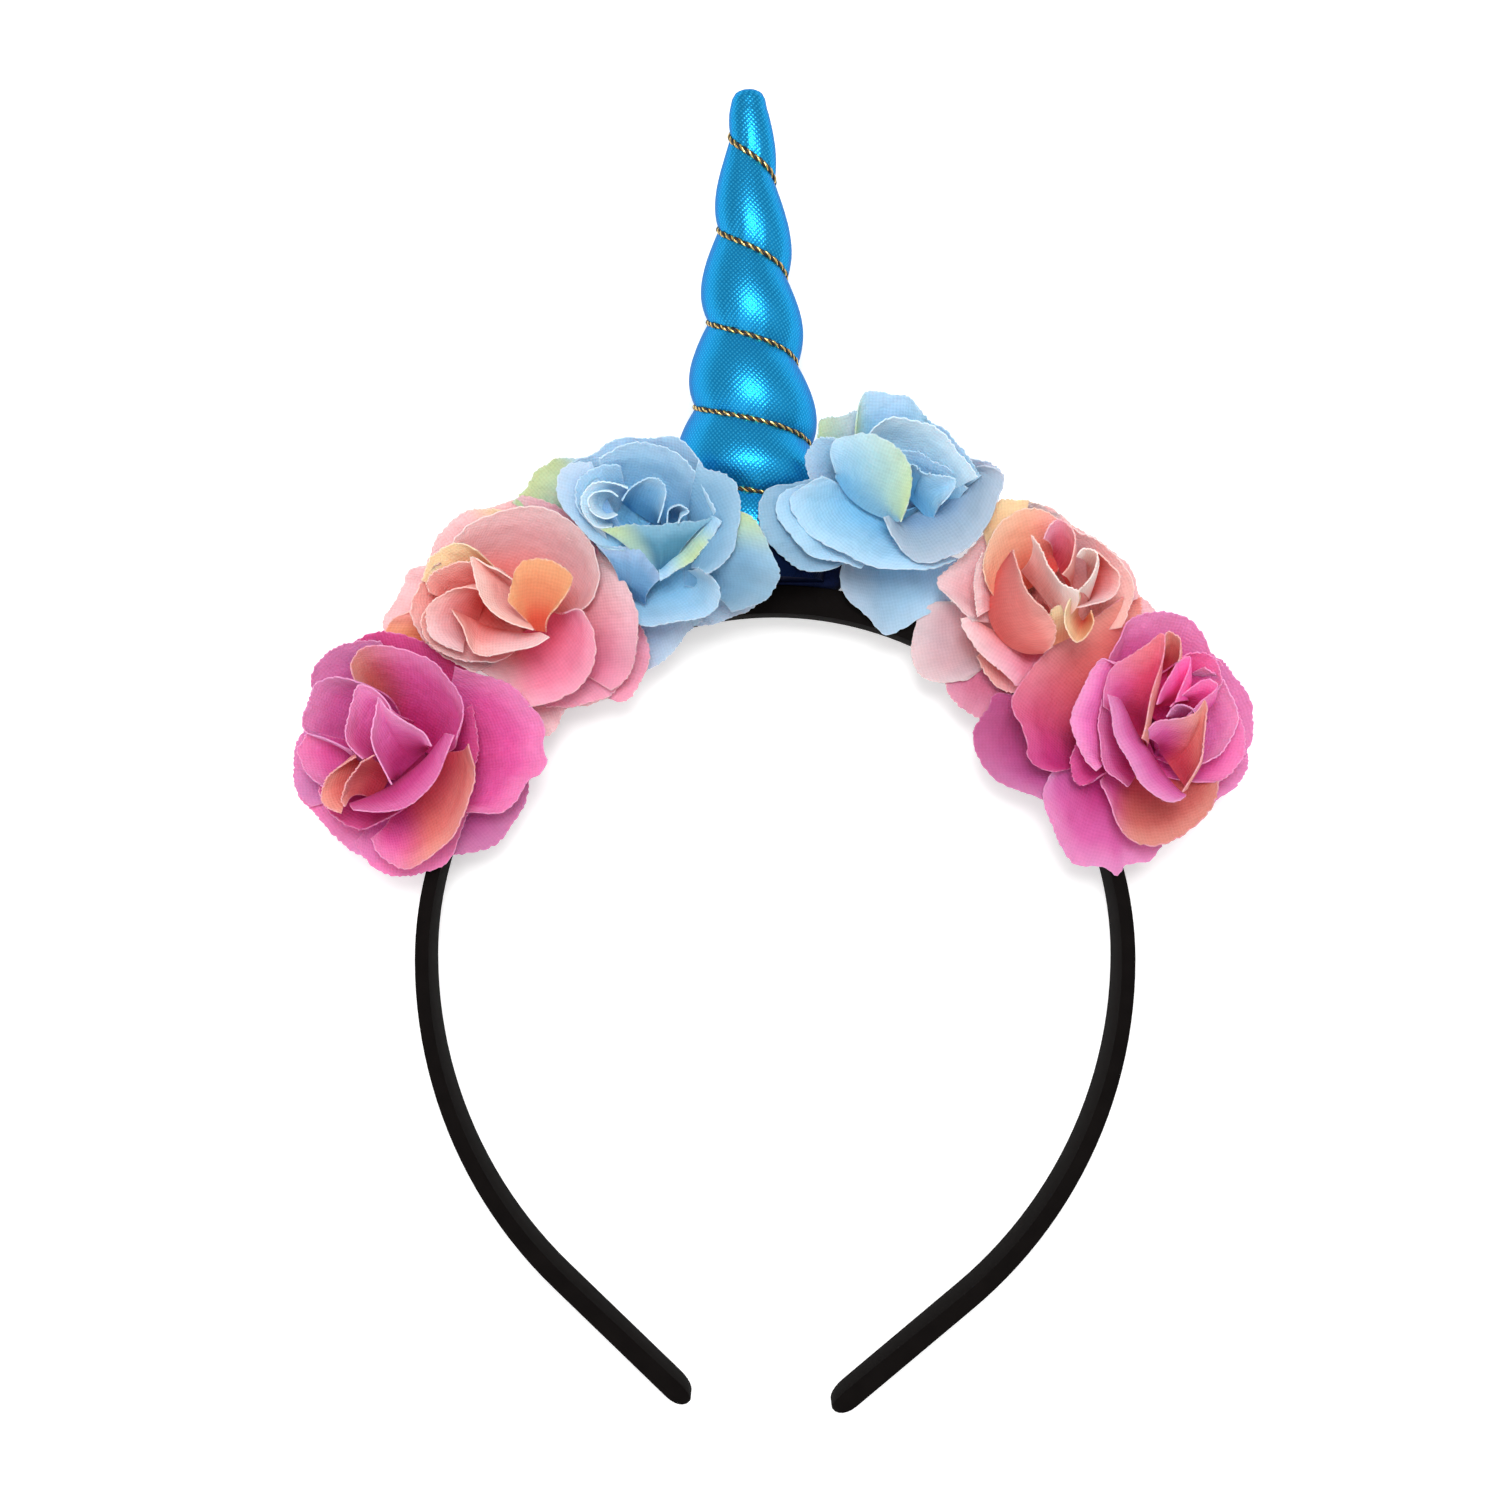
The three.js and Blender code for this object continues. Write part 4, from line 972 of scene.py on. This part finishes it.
PETALS["salmon_right"] = {
    "outer_petals": [
        ("dusty", (1005, 632, 13.2), 6, (14.5, 13, 13), -0.5, [
            (958, 600), (935, 602), (920, 613), (914, 632), (910, 652), (914, 667), (926, 678), (946, 683),
            (968, 680)]),
        ("mauve", (1010, 640, 12.8), 6, (12.5, 12, 13), -0.3, [
            (944, 680), (950, 695), (958, 706), (970, 713), (980, 718), (995, 712), (1006, 700),
            (1018, 688)]),
        ("cream/cream/blush", (1022, 610, 16), 6, (23, 24, 24), -0.5, [
            (984, 532), (990, 515), (997, 503), (1010, 500), (1025, 500), (1045, 508), (1062, 516)]),
        ("blush", (1035, 612, 16), 8, (24, 24, 19), -0.8, [
            (1030, 503), (1046, 508), (1060, 514), (1070, 522), (1079, 530), (1095, 540), (1111, 549),
            (1126, 563), (1136, 582), (1139, 597)]),
        ("blush", (1040, 625, 13.5), 5, (16, 15, 14), -0.5, [
            (1128, 575), (1137, 588), (1142, 597), (1150, 603), (1156, 612), (1152, 626), (1140, 637)]),
        ("coral", (1035, 632, 13.5), 6, (17, 16, 16), -0.5, [
            (1142, 596), (1141, 612), (1130, 628), (1112, 650)]),
        ("salmon/pink", (1018, 638, 13.5), 6, (16, 16, 16), -0.5, [
            (978, 655), (986, 674), (1002, 688), (1020, 694), (1042, 688), (1066, 672)]),
    ],
    "middle_petals": [
        ("blush", (1012, 600, 17), 8, (21, 20, 21), -0.5, [
            (994, 522), (975, 545), (955, 563), (938, 580), (950, 596), (962, 610), (974, 620)]),
        ("blush", (996, 588, 19), 7, (26, 24, 23), 0.5, [
            (984, 552), (977, 570), (976, 592), (979, 616)]),
        ("peach/peach/salmon", (1030, 588, 22), 11, (25, 29, 28), -1, [
            (986, 582), (985, 562), (991, 541), (1003, 522), (1020, 511), (1040, 510), (1058, 518),
            (1074, 528)]),
        ("blush/shell", (1050, 600, 18), 10, (27, 25, 22), -2, [
            (1066, 524), (1085, 535), (1102, 545), (1118, 557), (1129, 575), (1133, 592), (1129, 608),
            (1120, 627)]),
        ("blush/pink", (1012, 640, 17), 14, (21, 20, 19), 1.5, [
            (962, 617), (966, 632), (976, 647), (990, 660), (1004, 673), (1020, 685), (1033, 671),
            (1042, 657)]),
    ],
    "inner_petals": [
        ("bud", [
            (1011, 552, 30), (998, 571, 24), (990, 590, 21), (988, 606, 20), (992, 625, 20), (1005, 643, 20),
            (1025, 653, 23.5), (1044, 653, 26.5)], 0, (32, 33, 27.5), 2.2, [
            (1014, 551), (1019, 570), (1027, 588), (1038, 603), (1050, 616), (1055, 630), (1052, 647)]),
        ("salmon/blush", (1092, 585, 21), 8, (29, 29, 30), 0.5, [
            (1090, 548), (1106, 556), (1118, 572), (1118, 588), (1108, 598), (1092, 603), (1078, 606)]),
        ("pink/salmon", (1062, 575, 23), 7, (32, 33, 32), 0.5, [
            (1046, 538), (1052, 525), (1063, 520), (1074, 530), (1077, 546), (1072, 564), (1064, 574)]),
        ("ivory", (1088, 588, 22), 6, (33, 33, 32), 0.5, [
            (1078, 556), (1086, 548), (1098, 552), (1098, 566), (1090, 580), (1080, 590)]),
    ],
    "heart": [
        ("shell/ivory", (1042, 596, 27), 11, (36, 36, 36), 0.8, [
            (1034, 535), (1044, 552), (1052, 568), (1063, 582), (1080, 592)]),
        ("cream", (1060, 642, 24), 4, (29, 30, 29), 0.3, [
            (1050, 618), (1054, 610), (1062, 606), (1071, 608)]),
        ("cream/orange", (1080, 618, 22), 2, (33, 32.5, 31), 0, [
            (1082, 591), (1072, 598), (1067, 612), (1068, 628), (1076, 640), (1086, 636), (1094, 622),
            (1093, 609)]),
    ],
}
PETALS["magenta_right"] = {
    "outer_petals": [
        ("garnet/plum", (1100, 752, 13), 8, (15, 12.5, 13.5), -0.3, [
            (1018, 694), (995, 693), (985, 712), (975, 728), (974, 748), (983, 767), (1000, 781),
            (1022, 792), (1048, 802)]),
        ("lilac", (1105, 768, 13.2), 8, (15.5, 13.5, 14.5), -0.3, [
            (1054, 770), (1045, 790), (1046, 812), (1053, 830), (1064, 848), (1076, 864), (1090, 867),
            (1105, 869), (1119, 875), (1130, 864), (1150, 861), (1162, 846)]),
        ("lilac", (1130, 765, 13.5), 6, (15, 15, 16), -0.5, [
            (1203, 818), (1220, 798), (1236, 787), (1246, 772), (1248, 755), (1246, 742)]),
        ("lilac", (1135, 745, 14), 6, (17, 18, 20), -1, [
            (1246, 754), (1253, 732), (1254, 716), (1250, 700), (1243, 686), (1234, 674), (1222, 662),
            (1206, 650)]),
        ("magenta/lilac/lilac", (1130, 730, 15), 7, (24, 24, 23), -1.2, [
            (1111, 657), (1120, 640), (1130, 622), (1142, 615), (1160, 613), (1180, 615), (1195, 622),
            (1203, 635), (1209, 651), (1224, 666)]),
        ("coral/wine", (1108, 738, 15), 9, (22, 22, 17.5), -1.5, [
            (1132, 592), (1112, 606), (1082, 626), (1050, 648), (1032, 668), (1019, 690), (1014, 705),
            (1022, 725), (1026, 745), (1028, 758), (1042, 767), (1058, 771)]),
    ],
    "middle_petals": [
        ("magenta", (1132, 750, 17), 8, (24, 25, 22), 0, [
            (1104, 690), (1101, 720), (1102, 748), (1110, 772), (1130, 786)]),
        ("wine", (1112, 752, 16), 6, (20, 18, 19), 0.5, [
            (1076, 745), (1071, 765), (1078, 784), (1091, 783), (1103, 774)]),
        ("magenta/rust/rust", (1148, 762, 16.5), 10, (18, 20, 22), -2, [
            (1102, 780), (1109, 802), (1117, 820), (1128, 835), (1143, 844), (1160, 845), (1182, 836),
            (1203, 820), (1214, 800), (1220, 780)]),
        ("magenta", (1150, 748, 17), 7, (23, 22, 21), -1.5, [
            (1238, 712), (1246, 742), (1236, 767), (1219, 780), (1197, 781)]),
        ("orchid", (1155, 735, 17.5), 8, (27, 26, 25), -2, [
            (1206, 668), (1222, 682), (1234, 700), (1236, 718), (1231, 737), (1220, 752), (1205, 761)]),
        ("cerise/magenta", (1155, 720, 18), 7, (27, 28, 27), -1.5, [
            (1178, 664), (1190, 655), (1206, 655), (1218, 665), (1222, 682), (1214, 698)]),
        ("orchid", (1107, 716, 20), 17, (27, 26, 23.5), 1.2, [
            (1115, 664), (1103, 659), (1092, 673), (1084, 688), (1077, 703), (1073, 722), (1077, 742),
            (1087, 758), (1098, 770)]),
    ],
    "inner_petals": [
        ("magenta/ruby/coral", (1126, 738, 20), 8, (27, 34, 31), 1.2, [
            (1106, 706), (1108, 682), (1114, 667), (1131, 657), (1150, 645), (1165, 634), (1163, 660),
            (1156, 690), (1148, 718), (1142, 739)]),
        ("lilac", (1150, 753, 24), 18, (31, 31, 30), 1.2, [
            (1110, 694), (1114, 722), (1124, 750), (1139, 776), (1154, 793), (1169, 801), (1183, 799)]),
        ("magenta/coral/coral", (1172, 768, 21), 8, (30, 33, 28), 1, [
            (1143, 736), (1158, 722), (1180, 719), (1197, 714), (1206, 702), (1208, 728), (1204, 752),
            (1196, 772), (1185, 791)]),
    ],
    "heart": [
        ("coral", (1168, 678, 22), 5, (32, 32, 31), 0.5, [
            (1162, 644), (1171, 632), (1182, 641), (1182, 656), (1176, 670)]),
        ("cerise", (1170, 705, 24), 6, (31, 32, 31), 1, [
            (1158, 704), (1168, 682), (1181, 662), (1192, 659), (1186, 682), (1176, 702)]),
        ("cerise/magenta", (1190, 712, 24), 7, (30, 31, 30), 1, [
            (1172, 706), (1190, 690), (1210, 680), (1218, 689), (1204, 701), (1188, 716)]),
        ("lilac", (1180, 722, 22), 5, (31, 31, 31), 0.8, [
            (1168, 716), (1178, 705), (1192, 707), (1199, 717)]),
    ],
}
print("petals in all:", sum(len(rows) for rose in PETALS.values() for rows in rose.values()))

# %% [markdown]
# A petal's own sheet is a grid: a smooth curve through the rim's points, a short straight root, and columns
# between them that bow up or sag. The random numbers that fray the cut edge come from a seed, so that every
# run cuts the same petals. The middle of each rose is a tight roll of the same cloth.

# %% Lay out one petal
ALONG = 26  # steps from the root to the rim
ACROSS = 56  # steps along the rim
FRAY = 0.18  # mm that the cut edge strays
RIPPLE = 0.012  # of the rim's length
RIPPLE_HALF_WAVES = 5.5
RIM_ROLL = 0.35  # mm that the rim turns down
RIM_ROLL_FROM = 0.75  # of the way from the root to the rim
FINE_STEPS = 400  # for measuring the rim before it is divided evenly
BODY_DYE = (0.15, 0.7)  # along the petal, where the root's dye turns into the body's
RIM_DYE = (0.66, 1)  # and the body's into the rim's
DYE_MARGIN = 0.08  # of the petal's width, left plain on each side of a change of dye
ROLL_TURNS = 2.4
ROLL_RADIUS = 5.0  # mm
ROLL_HEIGHT = 7.0  # mm
ROLL_TIGHTENS = 0.75  # the share of its radius that the roll loses on the way in
ROLL_FOOT = 0.8  # the share of its radius that the roll has at its foot
ROLL_WAVE = 0.12  # of the roll's height
ROLL_WAVES = 3
ROLL_DYE_END = 0.6  # how far along a petal's dyes the roll's own go


def rim_curve(points):
    """An even run of points on a smooth curve through the rim's points."""
    ends = np.concatenate([[2 * points[0] - points[1]], points, [2 * points[-1] - points[-2]]])
    at = np.linspace(0, len(points) - 1, FINE_STEPS)
    first = np.minimum(at.astype(int), len(points) - 2)
    share = (at - first)[:, None]
    a, b, c, d = (ends[first + k] for k in range(4))
    fine = b + 0.5 * share * (c - a + share * (2 * a - 5 * b + 4 * c - d + share * (3 * (b - c) + d - a)))
    length = np.concatenate([[0], np.linalg.norm(np.diff(fine, axis=0), axis=1).cumsum()])
    even = np.linspace(0, length[-1], ACROSS + 1)
    return np.stack([np.interp(even, length, fine[:, k]) for k in range(3)], axis=1)


def petal_dye_and_shading(names, along, across):
    """The dye at each point, painted shade and light included: strong at the root, pale at the rim, and mixed
    across where more are named.
    """
    colours = []
    for name in names.split("/"):
        root, body, rim = (np.array(linear(code)) for code in DYES_AND_SHADING[name])
        body_share = smooth_steps(along, *BODY_DYE)[..., None]
        rim_share = smooth_steps(along, *RIM_DYE)[..., None]
        colours.append((root + (body - root) * body_share) * (1 - rim_share) + rim * rim_share)
    mixed = colours[0]
    for number, colour in enumerate(colours[1:]):
        start = number / (len(colours) - 1)
        end = start + 1 / (len(colours) - 1)
        share = smooth_steps(across, start + DYE_MARGIN, end - DYE_MARGIN)[..., None]
        mixed = mixed + (colour - mixed) * share
    return mixed


def petal_sheet(axis, row, chance):
    """One petal as a grid of points, with each point's dye and painted shading, distance to the cut edge and
    flat place.
    """
    dye_and_shading, root, root_width, heights, bow, rim_pixels = row
    pixels = np.array(rim_pixels, dtype=float)
    rim_heights = np.interp(np.linspace(0, 2, len(pixels)), [0, 1, 2], heights)
    rim = rim_curve(from_photo(pixels[:, 0], pixels[:, 1], rim_heights))
    across = np.linspace(0, 1, ACROSS + 1)
    ripple_phase = chance.uniform(0, 2 * math.pi)
    rim_length = np.linalg.norm(np.diff(rim, axis=0), axis=1).sum()
    rim += axis * (RIPPLE * rim_length * np.sin(RIPPLE_HALF_WAVES * math.pi * across + ripple_phase))[:, None]
    chord = rim[-1] - rim[0]
    chord /= np.linalg.norm(chord)
    if isinstance(root, list):
        base = rim_curve(from_photo(*np.array(root, dtype=float).T))
    else:
        base = from_photo(*root) + chord * (root_width * (across - 0.5))[:, None]
    way = rim - base
    length = np.linalg.norm(way, axis=1)
    way *= (1 + FRAY * chance.uniform(-1, 1, ACROSS + 1) / length)[:, None]
    along_way = way / length[:, None]
    lift = axis - along_way * (along_way @ axis)[:, None]
    lift /= np.linalg.norm(lift, axis=1)[:, None]
    along = np.linspace(0, 1, ALONG + 1)
    reach = np.minimum(1, length / length.mean())
    rise = bow * np.sin(math.pi * along) - RIM_ROLL * smooth_steps(along, RIM_ROLL_FROM, 1)
    sheet = base + way * along[:, None, None] + lift * (rise[:, None] * reach)[..., None]
    row_steps = np.linalg.norm(np.diff(sheet, axis=1), axis=2)
    from_first = np.concatenate([np.zeros((ALONG + 1, 1)), row_steps.cumsum(axis=1)], axis=1)
    from_last = from_first[:, -1:] - from_first
    to_rim = length * (1 - along[:, None])
    edge = np.minimum(np.minimum(from_first, from_last), to_rim)
    flats = np.stack([(from_first - from_last) / 2, length * along[:, None]], axis=-1)
    along_share, across_share = np.meshgrid(along, across, indexing="ij")
    return sheet, petal_dye_and_shading(dye_and_shading, along_share, across_share), edge, flats


def heart_roll(rose):
    """The tight roll of cloth in the middle of a rose, which shows only deep between the inner petals."""
    along = np.linspace(0, 1, ALONG + 1)[:, None]
    across = np.linspace(0, 1, ACROSS + 1)[None, :]
    axis = rose["axis"]
    side = np.cross(axis, [0, 1, 0])
    side /= np.linalg.norm(side)
    front = np.cross(side, axis)
    angle = 2 * math.pi * ROLL_TURNS * across
    radius = ROLL_RADIUS * (1 - ROLL_TIGHTENS * across) * (ROLL_FOOT + (1 - ROLL_FOOT) * along)
    height = ROLL_HEIGHT * along * (1 - ROLL_WAVE * np.sin(ROLL_WAVES * angle))
    out = side * np.cos(angle)[..., None] + front * np.sin(angle)[..., None]
    sheet = from_photo(*rose["core"]) + out * radius[..., None] + axis * height[..., None]
    along, across = along + 0 * across, across + 0 * along
    wound = 2 * math.pi * ROLL_TURNS * ROLL_RADIUS * across * (1 - ROLL_TIGHTENS / 2 * across)
    flat = np.stack([wound, ROLL_HEIGHT * along], axis=-1)
    return sheet, petal_dye_and_shading(rose["roll_dye"], ROLL_DYE_END * along, across), np.ones_like(along), flat


print("one petal:", (ALONG + 1) * (ACROSS + 1), "points")

# %% [markdown]
# The petals of one layer are joined in one piece, which stands for that layer's CAD solid. Solidify gives
# the cloth its thickness.

# %% Gather the petals into roses
CLOTH_THICKNESS = 0.24  # mm
SEEDS_PER_ROSE = 10


def make_layer(rose_name, layer_name, seed):
    """One layer of a rose as a piece."""
    chance = np.random.default_rng(seed)
    points, quads, dyes_and_shading, edges, flats = [], [], [], [], []
    rose = ROSES[rose_name]
    sheets = [petal_sheet(rose["axis"], row, chance) for row in PETALS[rose_name][layer_name]]
    if layer_name == "heart":
        sheets.append(heart_roll(rose))
    for sheet, dye_and_shading, edge, flat in sheets:
        quads.append(grid_faces(ALONG + 1, ACROSS + 1) + len(points) * edge.size)
        points.append(sheet.reshape(-1, 3))
        dyes_and_shading.append(dye_and_shading.reshape(-1, 4))
        edges.append(edge.ravel())
        flats.append(flat.reshape(-1, 2))
    points, quads = np.concatenate(points), np.concatenate(quads)
    piece = mesh_piece(f"{rose_name}_{layer_name}_cloth", points, quads.tolist())
    set_uv(piece, np.concatenate(flats))
    dye_and_shading_layer = piece.data.attributes.new("dye_and_shading", "FLOAT_COLOR", "POINT")
    dye_and_shading_layer.data.foreach_set("color", np.concatenate(dyes_and_shading).astype(np.float32).ravel())
    edge_layer = piece.data.attributes.new("cut_edge", "FLOAT", "POINT")
    edge_layer.data.foreach_set("value", np.concatenate(edges).astype(np.float32))
    apply_modifier(piece, "SOLIDIFY", thickness=CLOTH_THICKNESS * MM, offset=0)
    smooth_shade(piece, ROUND_DEG)
    piece.data.materials.append(CLOTHS[rose["cloth"]])
    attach(piece, "root")
    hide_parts(f"{rose_name}_{layer_name}")
    return piece


for number, rose_name in enumerate(PETALS):
    first_seed = SEEDS_PER_ROSE * number
    made = [make_layer(rose_name, layer, first_seed + k) for k, layer in enumerate(PETALS[rose_name])]
    print(rose_name, "petals:", sum(len(piece.data.polygons) for piece in made), "faces")

# %% [markdown]
# ## What holds the roses and the horn
# The photograph hides the stems, so they are a guess from other craft roses: wire in green florist's tape,
# with a calyx that flares under the petals, set in a drop of hot glue on the band's outer face. Each one is
# drawn out ring by ring from a circle, as it would be on a lathe.

# %% Draw out the stems
STEM_SIDES = 24
# how far along the stem, as a share of its length, and the radius in mm
STEM_PROFILE = ((0, 1.9), (0.25, 1.6), (0.6, 1.6), (0.75, 2.0), (0.86, 2.7), (0.92, 2.4))
GLUE_PROFILE = ((-0.04, 2.6), (0.03, 2.8), (0.08, 2.4), (0.13, 1.9), (0.18, 1.6))
SEAT_HEIGHT = 7.0  # mm above the floor, where the stems leave the band
SEAT_SINK = 0.5  # mm that the stem's foot is sunk in the cover


def turned_piece(name, start, way, profile):
    """A round piece drawn out from a start along a way, by rows of share and radius."""
    bpy.ops.object.select_all(action="DESELECT")
    bpy.ops.mesh.primitive_circle_add(vertices=STEM_SIDES, radius=profile[0][1] * MM, fill_type="NGON",
                                      location=(start + way * profile[0][0]) * MM,
                                      rotation=way.to_track_quat("Z", "X").to_euler())
    piece = bpy.context.object
    piece.name = name
    bpy.ops.object.transform_apply(location=True, rotation=True, scale=True)
    bpy.ops.object.mode_set(mode="EDIT")
    bpy.ops.mesh.select_all(action="SELECT")
    for (before, radius), (after, next_radius) in zip(profile, profile[1:]):
        bpy.ops.mesh.extrude_region_move(TRANSFORM_OT_translate={"value": way * ((after - before) * MM)})
        share = next_radius / radius
        bpy.ops.transform.resize(value=(share, share, share), center_override=(start + way * after) * MM)
    bpy.ops.mesh.select_all(action="SELECT")
    bpy.ops.mesh.normals_make_consistent(inside=False)
    bpy.ops.object.mode_set(mode="OBJECT")
    apply_modifier(piece, "SUBSURF", levels=1)
    smooth_shade(piece, FLAT_DEG)
    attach(piece, "root")
    return piece


stems, glue_drops = [], []
for rose_name, rose in ROSES.items():
    hub = Vector(rose["hub"])
    out = Vector((hub.x, hub.y - CROWN_CENTRE_Y, 0)).normalized()
    round_crown = CROWN_RADIUS * abs(math.atan2(out.x, out.y))
    cover = np.interp(round_crown, STRIP_SECTIONS[:, 0], STRIP_SECTIONS[:, 1])
    seat = Vector((0, CROWN_CENTRE_Y, SEAT_HEIGHT)) + out * (CROWN_RADIUS + cover - SEAT_SINK)
    stems.append(turned_piece(f"{rose_name}_stem", seat, hub - seat, STEM_PROFILE))
    glue_drops.append(turned_piece(f"{rose_name}_glue", seat, hub - seat, GLUE_PROFILE))
print("stems:", len(stems), "with a drop of glue each")

# %% [markdown]
# Florist's tape is waxed crepe paper: dull green, in laps that wind round the wire. Hot glue sets milky and
# smooth, and light goes a little way into it, which is what the subsurface part of the shader is for.

# %% Wrap the stems and set the glue
TAPE_WIDTH = 1.6  # mm between the tape's overlaps
GLUE_RIPPLE = 2.0  # mm between the drop's slow ripples
tape, tree = new_material("green_florist_tape")
laps = bands(tree, object_place(tree), TAPE_WIDTH * MM, 2.0, 2.0, "DIAGONAL")
surface(tree, {
    "Base Color": mix_colours(tree, laps, "#33502f", "#55764a"), "Roughness": 0.7,
    "Normal": bump(tree, laps, 0.4, 0.15),
})
for stem in stems:
    stem.data.materials.append(tape)

glue, tree = new_material("milky_hot_glue")
flow = speckle(tree, object_place(tree), GLUE_RIPPLE * MM, 2.0)
surface(tree, {
    "Base Color": mix_colours(tree, flow, "#a8a498", "#c9c5b8"), "Roughness": 0.3,
    "Subsurface Weight": 0.6, "Subsurface Scale": 2 * MM, "Normal": bump(tree, flow, 0.5, 0.3),
})
for drop in glue_drops:
    drop.data.materials.append(glue)
print("stem finishes:", tape.name, "and", glue.name)

# %% [markdown]
# A pad of navy felt sits under the horn's foot, between the blue roses, and fills the dark gap where the foot
# lies in shadow: its near-black navy is partly the felt's colour and partly painted shade. Felt has no
# threads:
# its fibres lie every way, so it is matt, dark and a little fuzzy. The pad is a block with its edges rounded
# over.

# %% Cut the felt pad under the horn, dark with painted shade
# lengths are in mm
PAD_MIDDLE = Vector((-4.5, 5.2, 6.6))
PAD_SIZE = (34.0, 8.0, 11.6)
PAD_ROUND = 3.2
PAD_ROUND_STEPS = 5
PAD_CUTS = 3
FELT_TUFT = 0.556  # mm between tufts, coarser than real so that they show
bpy.ops.object.select_all(action="DESELECT")
bpy.ops.mesh.primitive_cube_add(size=MM, location=PAD_MIDDLE * MM)
shaded_felt_pad = bpy.context.object
shaded_felt_pad.name = "horn_shaded_felt_pad"
shaded_felt_pad.scale = PAD_SIZE
bpy.ops.object.transform_apply(location=True, rotation=True, scale=True)
bpy.ops.object.mode_set(mode="EDIT")
bpy.ops.mesh.select_all(action="SELECT")
bpy.ops.mesh.bevel(offset=PAD_ROUND * MM, segments=PAD_ROUND_STEPS, affect="EDGES")
bpy.ops.mesh.select_all(action="SELECT")
bpy.ops.mesh.subdivide(number_cuts=PAD_CUTS)
bpy.ops.object.mode_set(mode="OBJECT")
smooth_shade(shaded_felt_pad, FLAT_DEG)
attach(shaded_felt_pad, "root")
shaded_felt, tree = new_material("navy_felt_with_painted_shade")
tufts = speckle(tree, object_place(tree), FELT_TUFT * MM, 5.0)
# near-black navy: painted shade for the dark gap under the horn's foot, over the felt's own colour
surface(tree, {
    "Base Color": mix_colours(tree, tufts, "#070d20", "#14204a"), "Roughness": 0.95,
    "Specular IOR Level": 0.1, "Sheen Weight": 0.05, "Normal": bump(tree, tufts, 0.7, 0.3),
})
shaded_felt_pad.data.materials.append(shaded_felt)
print("felt pad:", [round(side / MM, 1) for side in shaded_felt_pad.dimensions], "mm")
